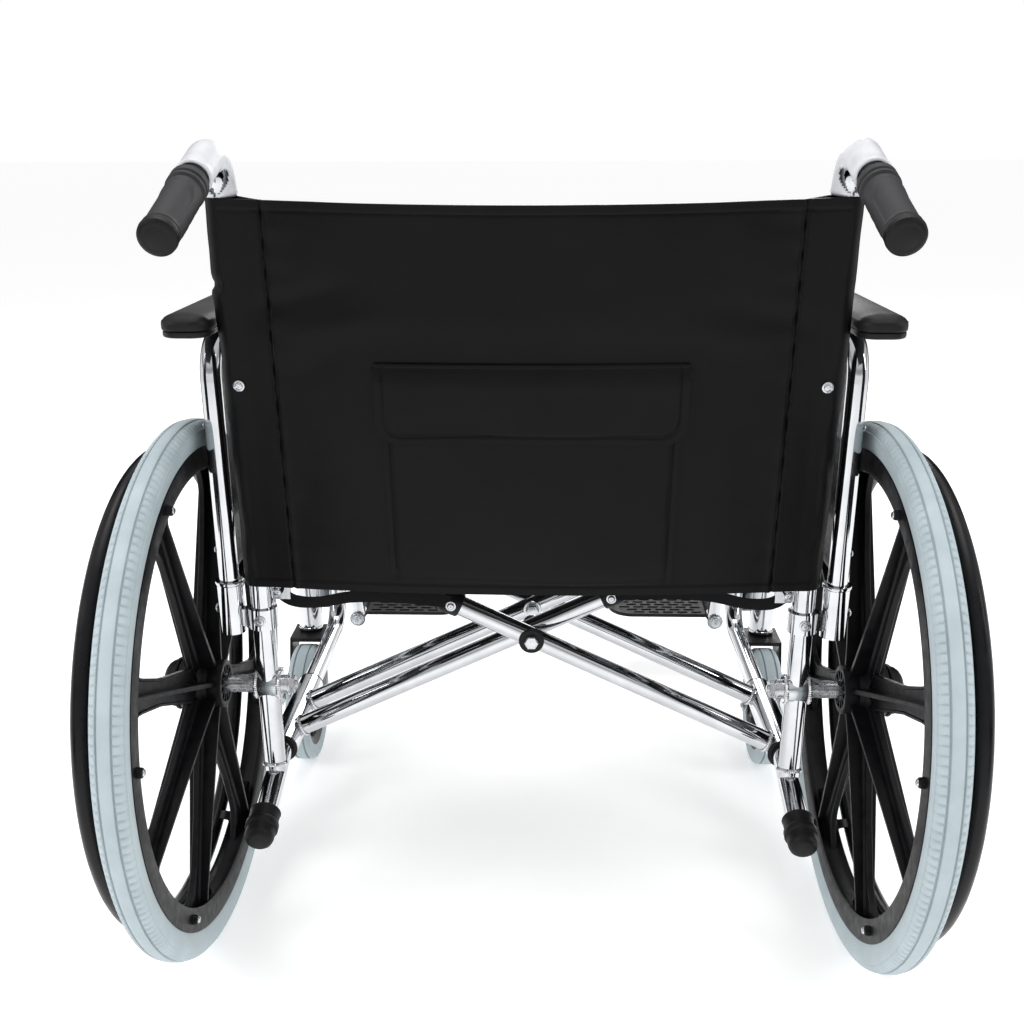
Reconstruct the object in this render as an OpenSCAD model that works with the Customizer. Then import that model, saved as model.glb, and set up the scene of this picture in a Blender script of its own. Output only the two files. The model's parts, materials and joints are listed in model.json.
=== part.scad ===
// Manual folding wheelchair, extra wide, full-length removable armrests.
// Millimetres. +X is the chair's right, +Y is forward, Z = 0 is the floor.

/* [Frame] */

// distance between the two side frames, centre to centre
frame_w = 606; // [420:2:720]
// outside diameter of the frame tubes
tube_d = 25; // [22:0.5:30]
// wall thickness of every tube
wall = 2; // [1.2:0.1:3]
// height of the lower rails
rail_z = 198; // [185:1:240]
// height of the two loose seat rails
seat_z = 485; // [440:1:540]
// from the rear axle forward to the front posts
post_y = 440; // [400:1:520]
// height of the elbow where the push handles begin
handle_z = 884; // [820:1:960]

/* [Rear wheels] */

// diameter over the tyre
wheel_d = 610; // [559:1:640]
// from a side frame out to the middle of its wheel
wheel_out = 76; // [70:1:110]
// width of the tyre section
tyre_w = 35; // [24:0.5:46]
// diameter of the handrim, middle of its tube
handrim_d = 534; // [480:1:540]
// diameter of the handrim tube
handrim_tube = 19; // [14:0.5:25]
// number of spokes
spoke_n = 8; // [5:1:12]

/* [Casters] */

// diameter over the caster tyre
caster_d = 175; // [150:1:200]
// width of the caster tyre
caster_w = 34; // [24:1:40]
// how far the caster axle trails behind its stem
trail = 58; // [40:1:70]

/* [Seat and back] */

// depth of the seat
seat_depth = 400; // [360:5:460]
// height of the back upholstery
back_h = 414; // [350:1:450]
// thickness of the upholstery
sling_t = 4; // [3:0.5:6]
// width of the rear pocket
pocket_w = 318; // [200:1:400]
// height of the rear pocket with its flap
pocket_h = 247; // [150:1:280]

/* [Arms, feet and brakes] */

// height of the armrest tube
arm_z = 700; // [660:5:760]
// length of an arm pad
pad_l = 360; // [250:5:380]
// width of an arm pad
pad_w = 50; // [40:1:60]
// height of the footplates
foot_z = 130; // [110:5:200]
// length of a footplate, across the chair
foot_l = 176; // [140:2:190]
// length of a push-handle grip
grip_l = 112; // [90:2:140]

/* [Hidden] */
$fn = 48;

a = frame_w / 2;
tr = tube_d / 2;
gap = 0.5;                          // running clearance
top_z = seat_z - 65;                // side frame's upper tube
lean_z = top_z + 6;                 // where the back posts start to lean
recline = asin(0.07584);            // their lean, an angle with an exact sine and cosine
handle_b = 34;                      // bend radius of a push handle
lever = asin(0.28);                 // slope of the tip lever, and droop of a push handle
post_l = (handle_z - lean_z) / cos(recline);
handle_l = 47 + grip_l;             // straight end of a push handle
axle_z = wheel_d / 2;
xw = a + wheel_out;                 // middle of a rear wheel
xa = a + 35;                        // plane of an armrest
arm_r = 11;
arm_y1 = 0;                         // rear arm post, outboard of the back post
arm_y2 = post_y - 40;
xc = a + 44;                        // caster stem
caster_r = caster_d / 2;
fork_top = caster_d + 9;
hang_y = post_y + 30;               // swing axis of a footrest hanger
lug_z = fork_top + 87;              // lower of the two lugs that carry it
lug_gap = top_z - 36 - lug_z;
foot_y = hang_y + 150;              // bottom of the hanger
mid_y = (foot_y + 136 - wheel_d / 2) / 2;
rail_r = 11;                        // loose seat rail
cross_r = 12;
cross_pitch = 2 * cross_r + 3;
cross_y = [85, 155];                // first half's tubes; the second half's pass outside them
cross_out = [cross_y[0] - cross_pitch, cross_y[1] + cross_pitch];
lever_y = 40;                       // where the low rail starts to drop to the tip lever
sleeve_y = [lever_y + 2, 212];
cross_len = norm([frame_w, seat_z - rail_z]);
cross_ang = atan((seat_z - rail_z) / frame_w);
brake_y = arm_y2 - 70;
saddle_y = [brake_y + 14, arm_y2 - 26]; // between the brake's plate and the front arm socket
brake_z = axle_z + 47;
shoe_r = 8;
shoe_out = wheel_d / 2 + shoe_r + 20;
shoe_y = shoe_out * cos(16);
shoe_z = axle_z + shoe_out * sin(16);
chrome = [0.8, 0.81, 0.83];
black = [0.06, 0.06, 0.07];
grey = [0.62, 0.65, 0.7];
dark = [0.18, 0.18, 0.2];

function unit(v) = v / norm(v);
function side_of(v) = unit(abs(v[2]) > 0.9 ? cross(v, [0, 1, 0]) : cross(v, [0, 0, 1]));
function columns(x, y, z, o) = [for (i = [0:2]) [x[i], y[i], z[i], o[i]]];

// straight rod between two points
module rod(p, q, r) {
  v = unit(q - p);
  s = side_of(v);
  multmatrix(columns(s, cross(v, s), v, p)) cylinder(r = r, h = norm(q - p));
}

// rod in the plane X = x: from [y, z] it heads off at h degrees, then run is
// [length, turn, length, turn, ... length], every turn bent to radius b
module bent(x, p, h, run, r, b) translate([x, p[0], p[1]]) rotate([h, 0, 0]) bent_on(run, r, b, 0);
module bent_on(run, r, b, i) {
  rotate([-90, 0, 0]) cylinder(r = r, h = run[i]);
  if (i < len(run) - 1) {
    t = run[i + 1];
    translate([0, run[i], sign(t) * b]) {
      difference() {
        rotate([0, 90 * sign(t), 0]) rotate_extrude(angle = 90) translate([b, 0]) circle(r);
        if (abs(t) < 90) rotate([t, 0, 0]) translate([-60, 0, -150]) cube([120, 200, 300]);
      }
      rotate([t, 0, 0]) translate([0, 0, -sign(t) * b]) bent_on(run, r, b, i + 2);
    }
  }
}

// every node is drawn with the rear axle at Y = 0, then moved so the whole box is centred
module at_right() translate([0, -mid_y, 0]) children();
module at_left() mirror([1, 0, 0]) at_right() children();

// cylinder along X, and ring along X, starting at x
module bar_x(x, y, z, r, l) translate([x, y, z]) rotate([0, 90, 0]) cylinder(r = r, h = l);
module bar_y(x, y, z, r, l) translate([x, y, z]) rotate([-90, 0, 0]) cylinder(r = r, h = l);
module box(x, y, z) translate([x[0], y[0], z[0]]) cube([x[1] - x[0], y[1] - y[0], z[1] - z[0]]);

// ---- side frames ----

lever_l = 127;
loop_b = 50;
lever_end = [lever_y - lever_l * cos(lever) - loop_b * sin(lever),
  rail_z - lever_l * sin(lever) - loop_b * (1 - cos(lever))];
module loop(r) bent(a, lever_end, lever, [lever_l, -lever, post_y - lever_y - loop_b, 90,
  top_z - rail_z - 2 * loop_b, 90, post_y - loop_b], r, loop_b);
module side_frame() color(chrome) difference() {
  union() {
    loop(tr);
    // caster housing and its plate
    translate([xc, post_y, fork_top + 3]) cylinder(r = 18, h = 88);
    box([a, xc], [post_y - 3, post_y + 3], [fork_top + 36, fork_top + 82]);
    // lugs and pin that carry the footrest hanger
    for (z = [lug_z, lug_z + lug_gap]) box([a - 9, a + 9], [post_y, hang_y + 9], [z, z + 6]);
    translate([a, hang_y, lug_z + 1]) cylinder(r = 7, h = lug_gap + 4);
  }
  loop(tr - wall);
  translate([a, 0, top_z - 40]) cylinder(r = tr + 0.02, h = 80);
  translate([xc, post_y, fork_top]) cylinder(r = 9.5, h = 120);
}

// upright and push handle, one tube
module on_lean() translate([a, 0, lean_z]) rotate([recline, 0, 0]) children();
bend_z = post_l - handle_b;
module handle_tube(z, l, r) bent(0, [0, z], 90, [bend_z - z, 90, 1, lever, l], r, handle_b);
// child frame at the end of the bend, with the straight handle along -Y
module on_handle() on_lean() translate([0, -1 - handle_b * (1 + sin(lever)),
  bend_z + handle_b * cos(lever)]) rotate([lever, 0, 0]) children();
lean_cut = handle_b * tan(recline / 2);
low_z = rail_z - 10;                // the post's foot, on the sloping end of the low rail
module post_tube(low, long, r) bent(a, [0, low_z - low], 90, [lean_z - low_z + low - lean_cut,
  recline, bend_z - lean_cut, 90, 1, lever, handle_l + long], r, handle_b);
module back_post() color(chrome) difference() {
  union() {
    post_tube(0, 0, tr);
    // axle boss and the gusset under it
    bar_x(a - tr - 3, 0, axle_z, 15, 2 * tr + 6);
    box([a - 3, a + 3], [-4, 62], [axle_z - 52, axle_z - 8]);
  }
  post_tube(30, 5, tr - wall);
  // foot coped over the sloping rail
  translate([a, lever_end[0], lever_end[1]]) rotate([lever, 0, 0]) bar_y(0, 0, 0, tr + 0.02, lever_l);
  bar_x(a - 30, 0, axle_z, 6.3, 60);
}

// light plastic cover on the bend of a push handle
module elbow() color(grey) on_lean() difference() {
  handle_tube(bend_z - 3, 44, tr + 4);
  handle_tube(bend_z - 13, 54, tr + 0.25);
}

module grip() color(black) on_handle() difference() {
  union() {
    bar_y(0, -handle_l - 5, 0, tr + 4.5, grip_l);
    bar_y(0, grip_l - handle_l - 8, 0, tr + 6, 6);
  }
  bar_y(0, -handle_l - 0.2, 0, tr + 0.25, grip_l + 40);
}

module tip_cap() color(black) translate([a, lever_end[0], lever_end[1]])
  rotate([lever, 0, 0]) difference() {
    union() {
      bar_y(0, -6, 0, tr + 4, 44);
      bar_y(0, 12, 0, tr + 6, 10);
    }
    bar_y(0, -0.2, 0, tr + 0.25, 80);
  }

// ---- folding cross ----

// one half: hinge sleeve on the low rail at -X, seat rail at +X
module cross_half(ys) difference() {
  union() {
    bar_y(-a, sleeve_y[0], rail_z, tr + 5, sleeve_y[1] - sleeve_y[0]);
    bar_y(a, 26, seat_z, rail_r, seat_depth - 6);
    for (y = ys) rod([-a, y, rail_z], [a, y, seat_z], cross_r);
  }
  bar_y(-a, -60, rail_z, tr + gap, 600);
  bar_y(a, 0, seat_z, rail_r - wall, 600);
  for (y = ys) {
    rod([-a + 24, y, rail_z + 24 * tan(cross_ang)], [a - 16, y, seat_z - 16 * tan(cross_ang)],
      cross_r - wall);
    bar_y(0, y - 20, (rail_z + seat_z) / 2, 5.3, 40);
  }
}
module cross_a() color(chrome) at_right() cross_half(cross_y);
module cross_b() color(chrome) at_right() mirror([1, 0, 0]) cross_half(cross_out);

module pivot_bolt(y) {
  zc = (rail_z + seat_z) / 2;
  bar_y(0, y - cross_r - 12, zc, 5, cross_pitch + 2 * cross_r + 22);
  bar_y(0, y - cross_r - 12, zc, 9, 11.5);
  bar_y(0, y + cross_pitch + cross_r + 0.6, zc, 9, 6);
}
module pivot_bolt_rear() color(chrome) at_right() pivot_bolt(cross_out[0]);
module pivot_bolt_front() color(chrome) at_right() pivot_bolt(cross_y[1]);

// plastic saddle that the seat rail drops into
module saddle() color(black) difference() {
  box([a - 19, a + 19], saddle_y, [top_z - 8, seat_z + 2]);
  bar_y(a, saddle_y[0] - 20, top_z, tr + 0.1, 80);
  box([a - tr - 0.1, a + tr + 0.1], [saddle_y[0] - 20, saddle_y[1] + 20], [top_z - 30, top_z]);
  bar_y(a, saddle_y[0] - 20, seat_z, rail_r + gap, 80);
  box([a - rail_r - gap, a + rail_r + gap], [saddle_y[0] - 20, saddle_y[1] + 20], [seat_z, seat_z + 30]);
}

// black webbing from the upright to a cross tube at x = strap_x, y = to
strap_x = 94;
strap_from = a - tr - 4;
strap_z = rail_z + (a + strap_x) * (seat_z - rail_z) / frame_w + 5;
strap_p = [[0, top_z - 3], [-11, top_z - 14], [-25, strap_z + 10], [-47, strap_z + 9], [-83, strap_z + 13],
  [-133, strap_z + 10], [strap_x - strap_from, strap_z]];
module strap(to) color(black) translate([strap_from, tr + 1, 0])
  rotate([0, 0, -atan((to - tr - 1) / (strap_from - strap_x))]) rotate([90, 0, 0])
    linear_extrude(height = 1.6) polygon(concat([for (p = strap_p) p + [0, 8]],
      [for (i = [len(strap_p) - 1:-1:0]) strap_p[i] - [0, 8]]));

// ---- upholstery ----

// outline of a sheet that sags by s between x = -w and w
function sheet(w, s, t, k) = concat(
  [for (i = [0:16]) let(x = -w + 2 * w * i / 16) [x, k - s * (1 - pow(x / w, 2))]],
  [for (i = [16:-1:0]) let(x = -w + 2 * w * i / 16) [x, k + t - s * (1 - pow(x / w, 2))]]);

seat_ring = rail_r + 0.6;
module seat_sling() color(black) at_right() translate([0, 30 + seat_depth - 14, seat_z]) rotate([90, 0, 0])
  linear_extrude(height = seat_depth - 14) {
    polygon(sheet(a, 12, sling_t, seat_ring));
    for (s = [-1, 1]) translate([s * a, 0]) intersection() {
      difference() {
        circle(seat_ring + sling_t);
        circle(seat_ring);
      }
      translate([s > 0 ? -2 : -24, 2]) square([26, 24]);
    }
  }

// drawn in the plane square to the back posts
sleeve_r = tr + 0.5;
module on_mid(z) translate([0, 0, lean_z]) rotate([recline, 0, 0]) translate([0, 0, z])
  children();
module back_sling() color(black) at_right() on_mid(7) linear_extrude(height = back_h) {
  for (s = [-1, 1]) translate([s * a, 0]) difference() {
    circle(sleeve_r + 3);
    circle(sleeve_r);
  }
  polygon(sheet(a - sleeve_r - 1, 16, sling_t, -2));
}
function bow(x) = -16 * (1 - pow(x / (a - sleeve_r - 1), 2)) - 2;
function patch(w, t, k) = concat(
  [for (i = [0:10]) let(x = -w / 2 + w * i / 10) [x, bow(x) - k - t]],
  [for (i = [10:-1:0]) let(x = -w / 2 + w * i / 10) [x, bow(x) - k]]);
module pocket() color(black) at_right() on_mid(14) linear_extrude(height = pocket_h - 60)
  polygon(patch(pocket_w - 12, 5, 0.3));
module pocket_flap() color(black) at_right() on_mid(14 + pocket_h - 83) {
  linear_extrude(height = 83) polygon(patch(pocket_w, 3, 6));
  translate([0, 0, 69]) linear_extrude(height = 14) polygon(patch(pocket_w, 6.7, 0.3));
}

// ---- armrests ----

arm_b = 42;
module arm_tube(r) bent(xa, [arm_y1, top_z - 38], 90, [arm_z - top_z + 38 - arm_b, -90,
  arm_y2 - arm_y1 - 2 * arm_b, -90, arm_z - top_z + 38 - arm_b], r, arm_b);
module arm_frame() color(chrome) difference() {
  arm_tube(arm_r);
  arm_tube(arm_r - 1.6);
}

// set outboard of the tube, clear of the back's sleeve
pad_x = a + sleeve_r + 5 + pad_w / 2;
module arm_pad() color(black) translate([pad_x, arm_y1 - 58, arm_z + arm_r + 0.4]) hull()
  for (x = [-1, 1]) for (y = [0, 1]) translate([x * (pad_w / 2 - 12), 12 + y * (pad_l - 24), 0]) {
    cylinder(r = 12, h = 17, $fn = 32);
    cylinder(r = 7, h = 24, $fn = 32);
  }

module side_panel() color(black) translate([xa - 2, 0, 0]) rotate([90, 0, 90])
  linear_extrude(height = 4) {
    for (y = [arm_y1 + arm_b, arm_y2 - arm_b]) translate([y, arm_z - arm_b]) circle(arm_b - arm_r - 0.3);
    translate([arm_y1 + arm_b, arm_z - arm_b]) square([arm_y2 - arm_y1 - 2 * arm_b, arm_b - arm_r - 0.3]);
    translate([arm_y1 + arm_r + 0.3, top_z + 18])
      square([arm_y2 - arm_y1 - 2 * arm_r - 0.6, arm_z - arm_b - top_z - 18]);
  }

// receiver that an armrest post slides down into, bored through
module socket_tube(y) translate([xa, y, top_z - 48]) cylinder(r = arm_r + 3.5, h = 62);
module socket_bore(y) {
  translate([xa, y, top_z - 60]) cylinder(r = arm_r + 0.4, h = 100);
  translate([xa, y, top_z - 60]) cylinder(r = 5, h = 100);
}
module arm_socket_rear() color(chrome) difference() {
  union() {
    socket_tube(arm_y1);
    translate([a, 0, top_z - 42]) cylinder(r = tr + 4, h = 24);
    box([a + 4, xa], [arm_y1 - 6, arm_y1 + 6], [top_z - 40, top_z - 20]);
  }
  translate([a, 0, 0]) cylinder(r = tr + 0.05, h = 900);
  socket_bore(arm_y1);
  bar_y(a, -60, top_z, tr + 0.05, 120);
}
module arm_socket_front() color(chrome) difference() {
  union() {
    socket_tube(arm_y2);
    box([a - 8, xa], [arm_y2 - 24, arm_y2 - 2], [top_z - 24, top_z - 4]);
  }
  loop(tr + 0.05);
  socket_bore(arm_y2);
}

// ---- rear wheels ----

rim_r = wheel_d / 2 - 33;
module tyre() color(grey) translate([xw, 0, axle_z]) rotate([0, 90, 0]) rotate_extrude($fn = 128)
  polygon([[rim_r + 0.3, -tyre_w / 2 + 6], [rim_r + 16, -tyre_w / 2], [rim_r + 24, -tyre_w / 2 + 2],
    [rim_r + 31, -tyre_w / 2 + 10], [rim_r + 33, -5], [rim_r + 33, 5],
    [rim_r + 31, tyre_w / 2 - 10], [rim_r + 24, tyre_w / 2 - 2], [rim_r + 16, tyre_w / 2],
    [rim_r + 0.3, tyre_w / 2 - 6]]);

hub_in = -26;                       // inner face of the hub, from the wheel's middle plane
hub_out = 24;
// flat web with a rib down its middle
module spoke() {
  translate([0, 0, 2]) linear_extrude(height = 6)
    polygon([[24, -13], [24, 13], [rim_r - 17, 17], [rim_r - 17, -17]]);
  rotate([90, 0, 0]) linear_extrude(height = 5, center = true)
    polygon([[24, -20], [24, 18], [rim_r - 18, 10], [rim_r - 18, -10], [90, -14]]);
}
module mag_wheel() color(black) translate([xw, 0, axle_z]) rotate([0, 90, 0]) difference() {
  union() {
    rotate_extrude($fn = 128) polygon([[rim_r - 22, -9], [rim_r - 12, -13], [rim_r, -13],
      [rim_r, 13], [rim_r - 12, 13], [rim_r - 22, 9]]);
    translate([0, 0, hub_in]) cylinder(r = 30, h = hub_out - hub_in);
    for (i = [0:spoke_n - 1]) rotate([0, 0, (i + 0.5) * 360 / spoke_n]) spoke();
  }
  translate([0, 0, -50]) cylinder(r = 6.7, h = 100);
}

handrim_x = 35;
module handrim() color(black) translate([xw, 0, axle_z]) rotate([0, 90, 0]) {
  translate([0, 0, handrim_x]) rotate_extrude($fn = 128) translate([handrim_d / 2, 0])
    circle(handrim_tube / 2);
  for (i = [0:5]) rotate([0, 0, 22.5 + i * 60]) translate([handrim_d / 2 - 6, -7, 13.2])
    cube([5, 14, handrim_x - 13]);
}

module wheel_axle() color(chrome) {
  bar_x(a - tr - 15, 0, axle_z, 6, xw + hub_out + 8 - a + tr + 15);
  bar_x(a - tr - 13, 0, axle_z, 11, 9.8);
  bar_x(a + tr + 3.2, 0, axle_z, 10, xw + hub_in - a - tr - 3.7);
  bar_x(xw + hub_out + 0.5, 0, axle_z, 9, 7);
}

module hub_cap() color(black) translate([xw + hub_out + 0.2, 0, axle_z]) rotate([0, 90, 0])
  rotate_extrude() polygon([[24, 0], [28, 0], [28, 8], [20, 16], [0, 20], [0, 17], [18, 13], [24, 7]]);

// ---- casters ----

wheel_c = [xc, post_y - trail, caster_r];
leg_in = caster_w / 2 + 4;
module caster_fork() color(black) difference() {
  union() {
    translate([xc, post_y, fork_top - 6]) cylinder(r = 22, h = 6);
    box([xc - leg_in - 4, xc + leg_in + 4], [post_y - 40, post_y + 16], [fork_top - 6, fork_top]);
    for (s = [-1, 1]) translate([xc + s * (leg_in + 2) - 2, 0, 0]) rotate([90, 0, 90])
      linear_extrude(height = 4) hull() {
        translate([wheel_c[1], wheel_c[2]]) circle(13, $fn = 32);
        translate([post_y - 40, fork_top - 4]) square([56, 4]);
      }
    translate([xc, post_y, fork_top - 1]) cylinder(r = 8, h = 104);
    translate([xc, post_y, fork_top]) cylinder(r = 12, h = 2.5);
    translate([xc, post_y, fork_top + 92]) cylinder(r = 13, h = 8);
  }
  bar_x(xc - 60, wheel_c[1], wheel_c[2], 4.3, 120);
}

module caster_tyre() color(grey) translate(wheel_c) rotate([0, 90, 0]) rotate_extrude($fn = 96)
  polygon([[caster_r - 22, -caster_w / 2 + 3], [caster_r - 8, -caster_w / 2], [caster_r - 2, -caster_w / 2 + 6],
    [caster_r, -caster_w / 2 + 11], [caster_r, caster_w / 2 - 11], [caster_r - 2, caster_w / 2 - 6],
    [caster_r - 8, caster_w / 2], [caster_r - 22, caster_w / 2 - 3]]);

module caster_core() color(grey) translate(wheel_c) rotate([0, 90, 0]) difference() {
  union() {
    rotate_extrude($fn = 96) polygon([[caster_r - 34, -9], [caster_r - 22.3, -12],
      [caster_r - 22.3, 12], [caster_r - 34, 9]]);
    translate([0, 0, -caster_w / 2 - 2]) cylinder(r = 18, h = caster_w + 4);
    for (i = [0:5]) rotate([0, 0, 60 * i]) translate([12, -5, -7]) cube([caster_r - 42, 10, 14]);
  }
  translate([0, 0, -60]) cylinder(r = 4.7, h = 120);
}

module caster_axle() color(chrome) {
  bar_x(xc - leg_in - 10, wheel_c[1], wheel_c[2], 4, 2 * leg_in + 20);
  bar_x(xc - leg_in - 11, wheel_c[1], wheel_c[2], 8, 6.7);
  bar_x(xc + leg_in + 4.3, wheel_c[1], wheel_c[2], 8, 6.7);
}

// ---- brakes ----

xb = xa + arm_r + 6;                // plane of a brake lever
module brake_bracket() color(chrome) difference() {
  union() {
    box([a - 2, a + 20], [brake_y - 20, brake_y + 12], [top_z - 20, top_z - 2]);
    box([a + 14, xb - 3], [brake_y - 20, brake_y + 12], [top_z - 20, top_z - 14]);
    box([xb - 7, xb - 3], [brake_y - 20, brake_y + 12], [brake_z - 12, top_z - 14]);
    bar_x(xb - 5, brake_y, brake_z, 5, 14);
    bar_x(xb + 3, brake_y, brake_z, 8, 5);
  }
  bar_y(a, 200, top_z, tr + 0.05, 300);
}

module brake_lever() color(chrome) difference() {
  union() {
    translate([xb - 2.5, 0, 0]) rotate([90, 0, 90]) linear_extrude(height = 5) union() {
      hull() {
        translate([brake_y, brake_z]) circle(12);
        translate([shoe_y, shoe_z]) circle(8);
      }
      hull() {
        translate([brake_y, brake_z]) circle(12);
        translate([brake_y + 20, brake_z + 128]) circle(8);
      }
    }
    bar_x(xb - 2.5, shoe_y, shoe_z, shoe_r, xw + tyre_w / 2 - xb - 2);
  }
  bar_x(xb - 20, brake_y, brake_z, 5.4, 40);
  bar_x(xb + 2.8, brake_y, brake_z, 9, 6);
}

module brake_grip() color(black) difference() {
  translate([xb, 0, 0]) rod([0, brake_y + 13, brake_z + 84], [0, brake_y + 22, brake_z + 142], 9.5);
  translate([xb - 2.8, 0, 0]) rotate([90, 0, 90]) linear_extrude(height = 5.6) hull() {
    translate([brake_y, brake_z]) circle(12.3);
    translate([brake_y + 20, brake_z + 128]) circle(8.3);
  }
}

// ---- footrests ----

hang_b = 34;
hang_turn = asin(0.96);
hang_drop = top_z - 62 - foot_z;
// the straight runs that bring the tube's end over foot_y, foot_z
hang_l = (hang_drop - hang_b * (1 - cos(hang_turn))) / sin(hang_turn);
hang_fore = foot_y - hang_y - 9 - hang_b * sin(hang_turn) - hang_l * cos(hang_turn);
module hanger() color(chrome) difference() {
  union() {
    bent(a, [hang_y + 9, top_z - 62], 0, [hang_fore, -hang_turn, hang_l], arm_r, hang_b);
    translate([a, hang_y, lug_z + 6.4]) cylinder(r = arm_r + 2, h = lug_gap - 6.8);
    // pivot rod for the footplate
    bar_y(a, foot_y - 16, foot_z, 6, 152);
    bar_y(a, foot_y - 16, foot_z, 13, 32);
  }
  translate([a, hang_y, lug_z]) cylinder(r = 7.5, h = 200);
}

module footplate() color(dark) difference() {
  union() {
    bar_y(a, foot_y + 17, foot_z, 10, 112);
    box([a - foot_l + 40, a], [foot_y + 17, foot_y + 129], [foot_z - 6, foot_z]);
    translate([a - foot_l + 40, foot_y + 55, foot_z - 6]) cylinder(r = 40, h = 6);
    translate([a - foot_l + 40, foot_y + 87, foot_z - 6]) cylinder(r = 40, h = 6);
    box([a - foot_l, a - foot_l + 41], [foot_y + 55, foot_y + 87], [foot_z - 6, foot_z]);
  }
  bar_y(a, foot_y - 60, foot_z, 6.5, 300);
}

// ---- the two sides ----

module side_frame_left() at_left() side_frame();
module side_frame_right() at_right() side_frame();
module back_post_left() at_left() back_post();
module back_post_right() at_right() back_post();
module elbow_left() at_left() elbow();
module elbow_right() at_right() elbow();
module grip_left() at_left() grip();
module grip_right() at_right() grip();
module tip_cap_left() at_left() tip_cap();
module tip_cap_right() at_right() tip_cap();
module saddle_left() at_left() saddle();
module saddle_right() at_right() saddle();
module strap_left() at_left() strap(cross_out[0] - cross_r - 0.5);
module strap_right() at_right() strap(cross_y[0] - cross_r - 0.5);
module arm_socket_rear_left() at_left() arm_socket_rear();
module arm_socket_rear_right() at_right() arm_socket_rear();
module arm_socket_front_left() at_left() arm_socket_front();
module arm_socket_front_right() at_right() arm_socket_front();
module arm_frame_left() at_left() arm_frame();
module arm_frame_right() at_right() arm_frame();
module arm_pad_left() at_left() arm_pad();
module arm_pad_right() at_right() arm_pad();
module side_panel_left() at_left() side_panel();
module side_panel_right() at_right() side_panel();
module tyre_left() at_left() tyre();
module tyre_right() at_right() tyre();
module mag_wheel_left() at_left() mag_wheel();
module mag_wheel_right() at_right() mag_wheel();
module handrim_left() at_left() handrim();
module handrim_right() at_right() handrim();
module wheel_axle_left() at_left() wheel_axle();
module wheel_axle_right() at_right() wheel_axle();
module hub_cap_left() at_left() hub_cap();
module hub_cap_right() at_right() hub_cap();
module caster_fork_left() at_left() caster_fork();
module caster_fork_right() at_right() caster_fork();
module caster_tyre_left() at_left() caster_tyre();
module caster_tyre_right() at_right() caster_tyre();
module caster_core_left() at_left() caster_core();
module caster_core_right() at_right() caster_core();
module caster_axle_left() at_left() caster_axle();
module caster_axle_right() at_right() caster_axle();
module brake_bracket_left() at_left() brake_bracket();
module brake_bracket_right() at_right() brake_bracket();
module brake_lever_left() at_left() brake_lever();
module brake_lever_right() at_right() brake_lever();
module brake_grip_left() at_left() brake_grip();
module brake_grip_right() at_right() brake_grip();
module hanger_left() at_left() hanger();
module hanger_right() at_right() hanger();
module footplate_left() at_left() footplate();
module footplate_right() at_right() footplate();

side_frame_left();
side_frame_right();
back_post_left();
back_post_right();
elbow_left();
elbow_right();
grip_left();
grip_right();
tip_cap_left();
tip_cap_right();
cross_a();
cross_b();
pivot_bolt_rear();
pivot_bolt_front();
saddle_left();
saddle_right();
strap_left();
strap_right();
seat_sling();
back_sling();
pocket();
pocket_flap();
arm_socket_rear_left();
arm_socket_rear_right();
arm_socket_front_left();
arm_socket_front_right();
arm_frame_left();
arm_frame_right();
arm_pad_left();
arm_pad_right();
side_panel_left();
side_panel_right();
tyre_left();
tyre_right();
mag_wheel_left();
mag_wheel_right();
handrim_left();
handrim_right();
wheel_axle_left();
wheel_axle_right();
hub_cap_left();
hub_cap_right();
caster_fork_left();
caster_fork_right();
caster_tyre_left();
caster_tyre_right();
caster_core_left();
caster_core_right();
caster_axle_left();
caster_axle_right();
brake_bracket_left();
brake_bracket_right();
brake_lever_left();
brake_lever_right();
brake_grip_left();
brake_grip_right();
hanger_left();
hanger_right();
footplate_left();
footplate_right();
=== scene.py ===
import json
import math

import bmesh
import bpy
import numpy as np
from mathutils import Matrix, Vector, noise


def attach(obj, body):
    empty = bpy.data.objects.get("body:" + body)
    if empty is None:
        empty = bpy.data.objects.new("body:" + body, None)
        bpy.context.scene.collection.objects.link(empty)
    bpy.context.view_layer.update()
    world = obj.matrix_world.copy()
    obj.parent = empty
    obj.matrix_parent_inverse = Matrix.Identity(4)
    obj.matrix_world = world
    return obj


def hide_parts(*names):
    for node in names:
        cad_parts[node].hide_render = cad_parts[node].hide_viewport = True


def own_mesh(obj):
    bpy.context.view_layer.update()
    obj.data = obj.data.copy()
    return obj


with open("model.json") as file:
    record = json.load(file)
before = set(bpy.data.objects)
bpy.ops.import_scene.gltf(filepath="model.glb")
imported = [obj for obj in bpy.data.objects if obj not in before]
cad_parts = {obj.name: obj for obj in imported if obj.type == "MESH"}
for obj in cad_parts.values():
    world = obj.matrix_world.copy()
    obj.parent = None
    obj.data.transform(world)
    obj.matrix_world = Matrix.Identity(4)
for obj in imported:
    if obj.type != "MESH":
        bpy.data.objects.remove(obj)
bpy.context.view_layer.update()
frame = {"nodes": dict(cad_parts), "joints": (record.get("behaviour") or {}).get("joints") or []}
cad = frame["nodes"]
pivots = {j["name"]: j.get("pos_m") for j in frame["joints"]}
sides = (("left", -1), ("right", 1))


# ---- Studio ----
# A plain pale floor under soft lamps, with dark cards out of sight that give the chrome
# its dark edges. The camera looks from behind and a little above the push handles.

def plain_finish(name, colour, roughness):
    finish = bpy.data.materials.new(name)
    finish.use_nodes = True
    shader = finish.node_tree.nodes["Principled BSDF"]
    shader.inputs["Base Color"].default_value = (*colour, 1)
    shader.inputs["Roughness"].default_value = roughness
    return finish, finish.node_tree, shader


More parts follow.
